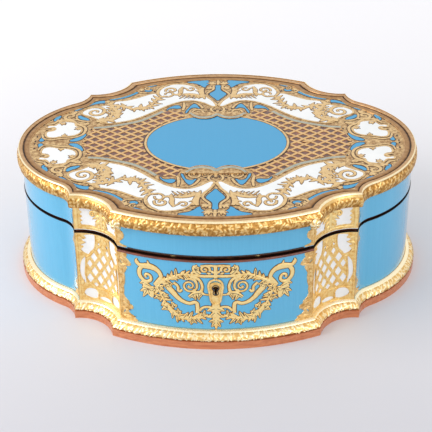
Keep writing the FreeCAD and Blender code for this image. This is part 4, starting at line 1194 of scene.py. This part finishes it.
# Scrolls of the lid top: sawn and engraved brass leafage on the white panels and, in relief, on the brass
# ground between the panels and the border.
FAN = (-60, -20, 20, 60)
sprays = [
    [(-121, -67.5, 1.2), (-115, -70, 1.9), (-108, -68.5, 2.0), (-104.5, -63, 2.0), (-105.5, -57, 1.9),
     (-110, -53.5, 1.8), (-115.5, -55, 1.7), (-117, -59.5, 1.5), (-114, -63, 1.3), (-110.5, -62, 1.2),
     (-111, -59, 1.4)], *branch([(-110, -41), (-103, -42.5), (-96, -45), (-91.6, -51), (-91.6, -58),
                                 (-94.6, -65), (-98.4, -72), (-100, -79)], 3.2, 7.5, 3.2),
    *branch([(-99, -74), (-92, -73), (-85, -70), (-77, -66), (-70, -69), (-63, -72), (-60, -79), (-56, -87),
             (-53.6, -93)], 2.4, 7.4, 3.4), leaf(-77, -66, 88, 6.5, 1.7), leaf(-63, -71, 50, 7, 1.8),
    leaf(-60, -78, 10, 9, 1.7), leaf(-57, -85, -5, 8, 1.6), leaf(-86, -71, 240, 9, 1.8),
    [(-53, -91, 1.6), (-56.8, -98, 1.7), (-56.5, -106, 1.6), (-53, -113, 1.5), (-46, -119, 1.2)],
    [(-52, -93, 1.2), (-47.5, -91.5, 1.3), (-43.5, -94, 1.3), (-42.5, -98.5, 1.2), (-45, -101.5, 1.2),
     (-49, -100, 1.1), (-50, -96, 1.0)],
    [(-50, -103, 1.2), (-48.5, -109, 1.4), (-43.5, -110.5, 1.5), (-40.5, -107, 1.3), (-42, -103.5, 1.2),
     (-45.5, -104, 1.1), (-45.5, -106.5, 1.2)],
    [(-42.5, -97, 1.3), (-38, -96.5, 1.8), (-35.5, -100, 2.2), (-35.5, -106, 2.6), (-33.5, -113.4, 1.2)],
    leaf(-36.5, -97, 85, 5.5, 1.5), [(-34, -112, 1.0), (-30, -109, 1.0), (-28, -105.8, 1.2),
                                     (-24.5, -106, 1.3), (-23.5, -109, 1.2), (-25.5, -111.5, 1.0),
                                     (-27.5, -110, 1.0)], [(-34, -97.4, 1.3), (-27, -97.2, 2.4),
                                                           (-22, -96, 2.6), (-17, -93.5, 2.4),
                                                           (-13, -91, 2.0)], leaf(-25, -97, 80, 9, 1.7),
    leaf(-19, -95, 80, 8, 1.8), leaf(-13.4, -93, 80, 7, 1.7), leaf(-30, -97, 75, 5, 1.4),
    [(-13.6, -92, 2.2), (-15.5, -100, 3.0), (-16, -106, 3.2), (-14, -111, 1.6)], leaf(-16, -103, 200, 6, 1.7),
    leaf(-16, -108, 215, 6, 1.7), [(-153.5, -24.5, 1.0), (-149, -23.6, 1.6), (-147, -26, 1.5),
                                   (-149.5, -27.5, 1.1)]]
sprays += [
    *branch([(-108, -45), (-101, -47), (-97, -53), (-98, -60), (-102, -66)], 1.6, 7, 2.6),
    *spray(-93, -62, 20, 8, 1.7, FAN), *spray(-70, -68, 60, 8, 1.7, (-70, -30, 10, 50)),
    *spray(-58, -88, 15, 7, 1.6, FAN),
    *branch([(-13, -91), (-20, -91), (-27, -93), (-34, -94)], 1.2, 6.5, 2.2),
    *spray(-140, -38, 75, 6, 1.6, FAN), *spray(-123.6, -27, 165, 6, 1.6, (-50, -10, 30)),
    *spray(-136, -12, -90, 5, 1.5, TRIO)]
piece = scrollwork("top_white_sprays", quarters(sprays), on_top(0.45))
fit(piece, lid_brass, "lid", "brass")
piece = scrollwork("top_spray_mastic", quarters(filled(sprays)), on_top(0.5), height=0.12)
fit(piece, kerf, "lid", "tortoiseshell")
scrolls = [
    [(-154.5, -35, 1.3), (-148, -37.4, 1.5), (-144, -43, 1.6), (-137, -43.6, 1.7), (-131, -41.6, 1.7),
     (-126.4, -35.6, 1.8), (-119.4, -29.6, 1.8), (-118.4, -20, 1.6), (-122, -12.6, 1.5), (-130, -8.6, 1.5),
     (-139, -7.4, 1.5), (-146.6, -5, 1.5), (-153, -7, 1.3), (-156, -15, 1.2)],
    [(-128, -44.4, 1.5), (-134, -44.6, 1.8), (-139, -47.6, 1.9), (-138.4, -53, 1.8), (-133.6, -55, 1.7),
     (-131.6, -51.4, 1.5), (-134.4, -49.4, 1.3)], *spray(-130, -58, 200, 8, 1.9, FAN),
    *spray(-140, -42, 210, 8, 1.8, (-50, -10, 30)), *spray(-122, -37, 70, 8, 1.9, FAN),
    [(-129, -53, 1.2), (-127.6, -45.4, 1.4), (-120.8, -41.4, 1.5), (-114, -41.6, 1.2)],
    *spray(-116, -36, 200, 6, 1.6, (-40, 0, 40)),
    [(-136, -60, 1.0), (-124, -74.4, 1.1), (-112, -86, 1.2), (-102, -91, 1.3), (-92, -95, 1.3),
     (-84, -101.6, 1.3), (-77, -110, 1.2), (-68, -118.6, 1.2), (-50, -122.6, 1.1), (-34, -126, 1.0)],
    *spray(-104, -83, 40, 6, 1.6, FAN), *spray(-74, -109, 60, 7, 1.7, (-70, -30, 10, 50, 90)),
    [(-60, -101, 1.2), (-66, -100.6, 1.3), (-73, -101.4, 1.4), (-77, -106, 1.3)],
    volute((-66.6, -111), 3.6, 60, 1.2, 1.2),
    [(-23.4, -57, 1.1), (-21.8, -62.4, 1.4), (-17.4, -64.4, 1.5), (-13.8, -61.4, 1.4), (-15, -57.4, 1.2),
     (-18.4, -57.6, 1.1), (-18, -60.4, 1.1)], volute((-8.6, -60), 3.2, 200, 1.1, 1.0),
    [(0, -56, 1.2), (-4, -60, 1.4), (-6, -66, 1.5), (-4, -70, 1.2)], leaf(0, -56, 265, 10, 1.4),
    [(-32, -63, 1.5), (-31, -71, 1.7), (-31.6, -79.6, 1.2)],
    [(-13.6, -67, 1.5), (-16.6, -74, 1.5), (-22, -79.6, 1.2), (-30, -80.4, 1.0)],
    [(0, -73, 1.0), (-3.4, -82, 1.1), (-8, -90, 1.2), (-10.4, -98, 1.4), (-7.4, -103.6, 1.5),
     (-4.6, -108, 1.4), (-4.4, -116, 1.3)], *spray(-7.4, -109, 250, 8, 1.8, (-50, -15, 20, 55)),
    *spray(-5, -119, 250, 9, 1.9, (-40, -10, 20, 60))]
stem = [(0, -118, 1.4), (0, -124, 2.0), (0, -129, 1.2)]
strokes = quarters(scrolls) + ends(stem)
piece = scrollwork("top_ground_scrolls", strokes, on_top(BRASS_SHEET - 0.05))
fit(piece, lid_brass, "lid", "brass")
piece = scrollwork("top_scroll_mastic", filled(strokes), on_top(BRASS_SHEET), height=MASTIC)
fit(piece, kerf, "lid", "tortoiseshell")
FLECKS = [(-3, -65, 1.2), (-1.2, -58, 2.6), (-22.6, -57, 1.2), (-14, -68, 0.8), (-9, -66, 1.3),
          (-13.4, -110, 1.4), (-5, -111, 1.6), (-19, -118, 0.7), (-159, -31, 2.0), (-156, -36, 2.1),
          (-147, -39, 2.0), (-151, -45, 2.2), (-136, -61.4, 2.6), (-110, -78, 2.8), (-103, -86.4, 0.4),
          (-72, -104, 1.0), (-60, -106, 1.8), (-113, -27, 1.6), (-110.4, -24, 1.4), (-117, -1.4, 0.6),
          (-160, -13, 1.5), (-160.6, -4, 1.5)]
flecks = [[(s, t, 0.2), (s + 0.8 * math.cos(a), t + 1.6 * math.sin(a), 0.9),
           (s + 2.2 * math.cos(a), t + 3.4 * math.sin(a), 0.2)] for s, t, a in FLECKS]
piece = scrollwork("top_dark_flecks", quarters(flecks), on_top(BRASS_SHEET + 0.05), height=0.25)
fit(piece, kerf, "lid", "tortoiseshell")

# Studio: a pale floor under soft light from the upper left,
# seen through a long lens from the front and above.
AIM = (0.0, 0.0, 42.6)
DISTANCE, AZIMUTH, ELEVATION, ROLL = 1194.3, math.radians(0.95), math.radians(31.4), math.radians(-0.66)
FOCAL_PX, FRAME_PX, CENTRE_PX, SENSOR_MM = 1310.0, 432.0, 217.6, 36.0
back = np.array([math.sin(AZIMUTH) * math.cos(ELEVATION), -math.cos(AZIMUTH) * math.cos(ELEVATION),
                 math.sin(ELEVATION)])
level = np.array([math.cos(AZIMUTH), math.sin(AZIMUTH), 0.0])
up = np.cross(back, level)
right_axis = math.cos(ROLL) * level + math.sin(ROLL) * up
up_axis = math.cos(ROLL) * up - math.sin(ROLL) * level
lens = bpy.data.cameras.new("camera")
lens.sensor_width = SENSOR_MM
lens.lens = SENSOR_MM * FOCAL_PX / FRAME_PX
lens.shift_x = (FRAME_PX / 2 - CENTRE_PX) / FRAME_PX
lens.clip_end = 20.0
camera = bpy.data.objects.new("camera", lens)
bpy.context.collection.objects.link(camera)
eye = (np.array(AIM) + DISTANCE * back) * MM
turned = Matrix(np.stack([right_axis, up_axis, back], axis=1).tolist())
camera.matrix_world = Matrix.Translation(eye.tolist()) @ turned.to_4x4()
bpy.context.scene.camera = camera

# The floor is painted darker near the front and lighter towards the back as light falloff, and its far part
# glows for camera rays as a painted bright backdrop.
FLOOR_HALF, FALLOFF_Y = 3.0, (-0.5, 0.6)
GLOW_REACH, GLOW = (-0.25, 0.2), 0.1
bpy.ops.object.select_all(action="DESELECT")
bpy.ops.mesh.primitive_plane_add(size=2 * FLOOR_HALF)
floor = bpy.context.object
floor.name = "floor"
paper, tree, shader = finish("studio_paper", Roughness=0.7)
place = add(tree, "ShaderNodeTexCoord", {}, {})
parts = add(tree, "ShaderNodeSeparateXYZ", {}, {"Vector": place.outputs["Object"]})
painted_falloff = add(tree, "ShaderNodeMapRange", {"From Min": FALLOFF_Y[0], "From Max": FALLOFF_Y[1]},
           {"Value": parts.outputs["Y"]})
tint(tree, shader, [(0.0, "#C4C3CA"), (1.0, "#F7F6FA")], painted_falloff.outputs["Result"])
ray = add(tree, "ShaderNodeLightPath", {}, {})
far = add(tree, "ShaderNodeMapRange", {"From Min": GLOW_REACH[0], "From Max": GLOW_REACH[1], "To Max": GLOW},
          {"Value": parts.outputs["Y"]})
glow = add(tree, "ShaderNodeMath", {"operation": "MULTIPLY"},
           {0: far.outputs["Result"], 1: ray.outputs["Is Camera Ray"]})
shader.inputs["Emission Color"].default_value = linear("#FFFFFF")
tree.links.new(glow.outputs["Value"], shader.inputs["Emission Strength"])
floor.data.materials.append(paper)

AMBIENT, BACKDROP = 0.72, 1.0
world = bpy.data.worlds.new("studio")
bpy.context.scene.world = world
world.use_nodes = True
tree = world.node_tree
ray = add(tree, "ShaderNodeLightPath", {}, {})
seen = add(tree, "ShaderNodeMath", {"operation": "MAXIMUM"},
           {0: ray.outputs["Is Camera Ray"], 1: ray.outputs["Is Glossy Ray"]})
seen = add(tree, "ShaderNodeMath", {"operation": "MAXIMUM"},
           {0: seen.outputs["Value"], 1: ray.outputs["Is Transmission Ray"]})
level = add(tree, "ShaderNodeMapRange", {"To Min": AMBIENT, "To Max": BACKDROP},
            {"Value": seen.outputs["Value"]})
tree.links.new(level.outputs["Result"], tree.nodes["Background"].inputs["Strength"])
tree.nodes["Background"].inputs["Color"].default_value = linear("#FFFFFF")


def lamp(name, place, aim, size, watts):
    """Soft box: a square area lamp that faces a point."""
    light = bpy.data.lights.new(name, "AREA")
    light.size = size
    light.energy = watts
    box = bpy.data.objects.new(name, light)
    bpy.context.collection.objects.link(box)
    away = np.array(place) - np.array(aim)
    box.location = place
    box.rotation_euler = (math.atan2(math.hypot(away[0], away[1]), away[2]), 0, math.atan2(away[0], -away[1]))
    return box


lamp("key", (-1.5, -0.5, 0.9), (0, 0, 0.05), 1.3, 21.0)
lamp("fill", (1.1, -1.2, 0.8), (0, 0, 0.05), 1.2, 8.0)
bpy.context.scene.view_settings.view_transform = "Standard"
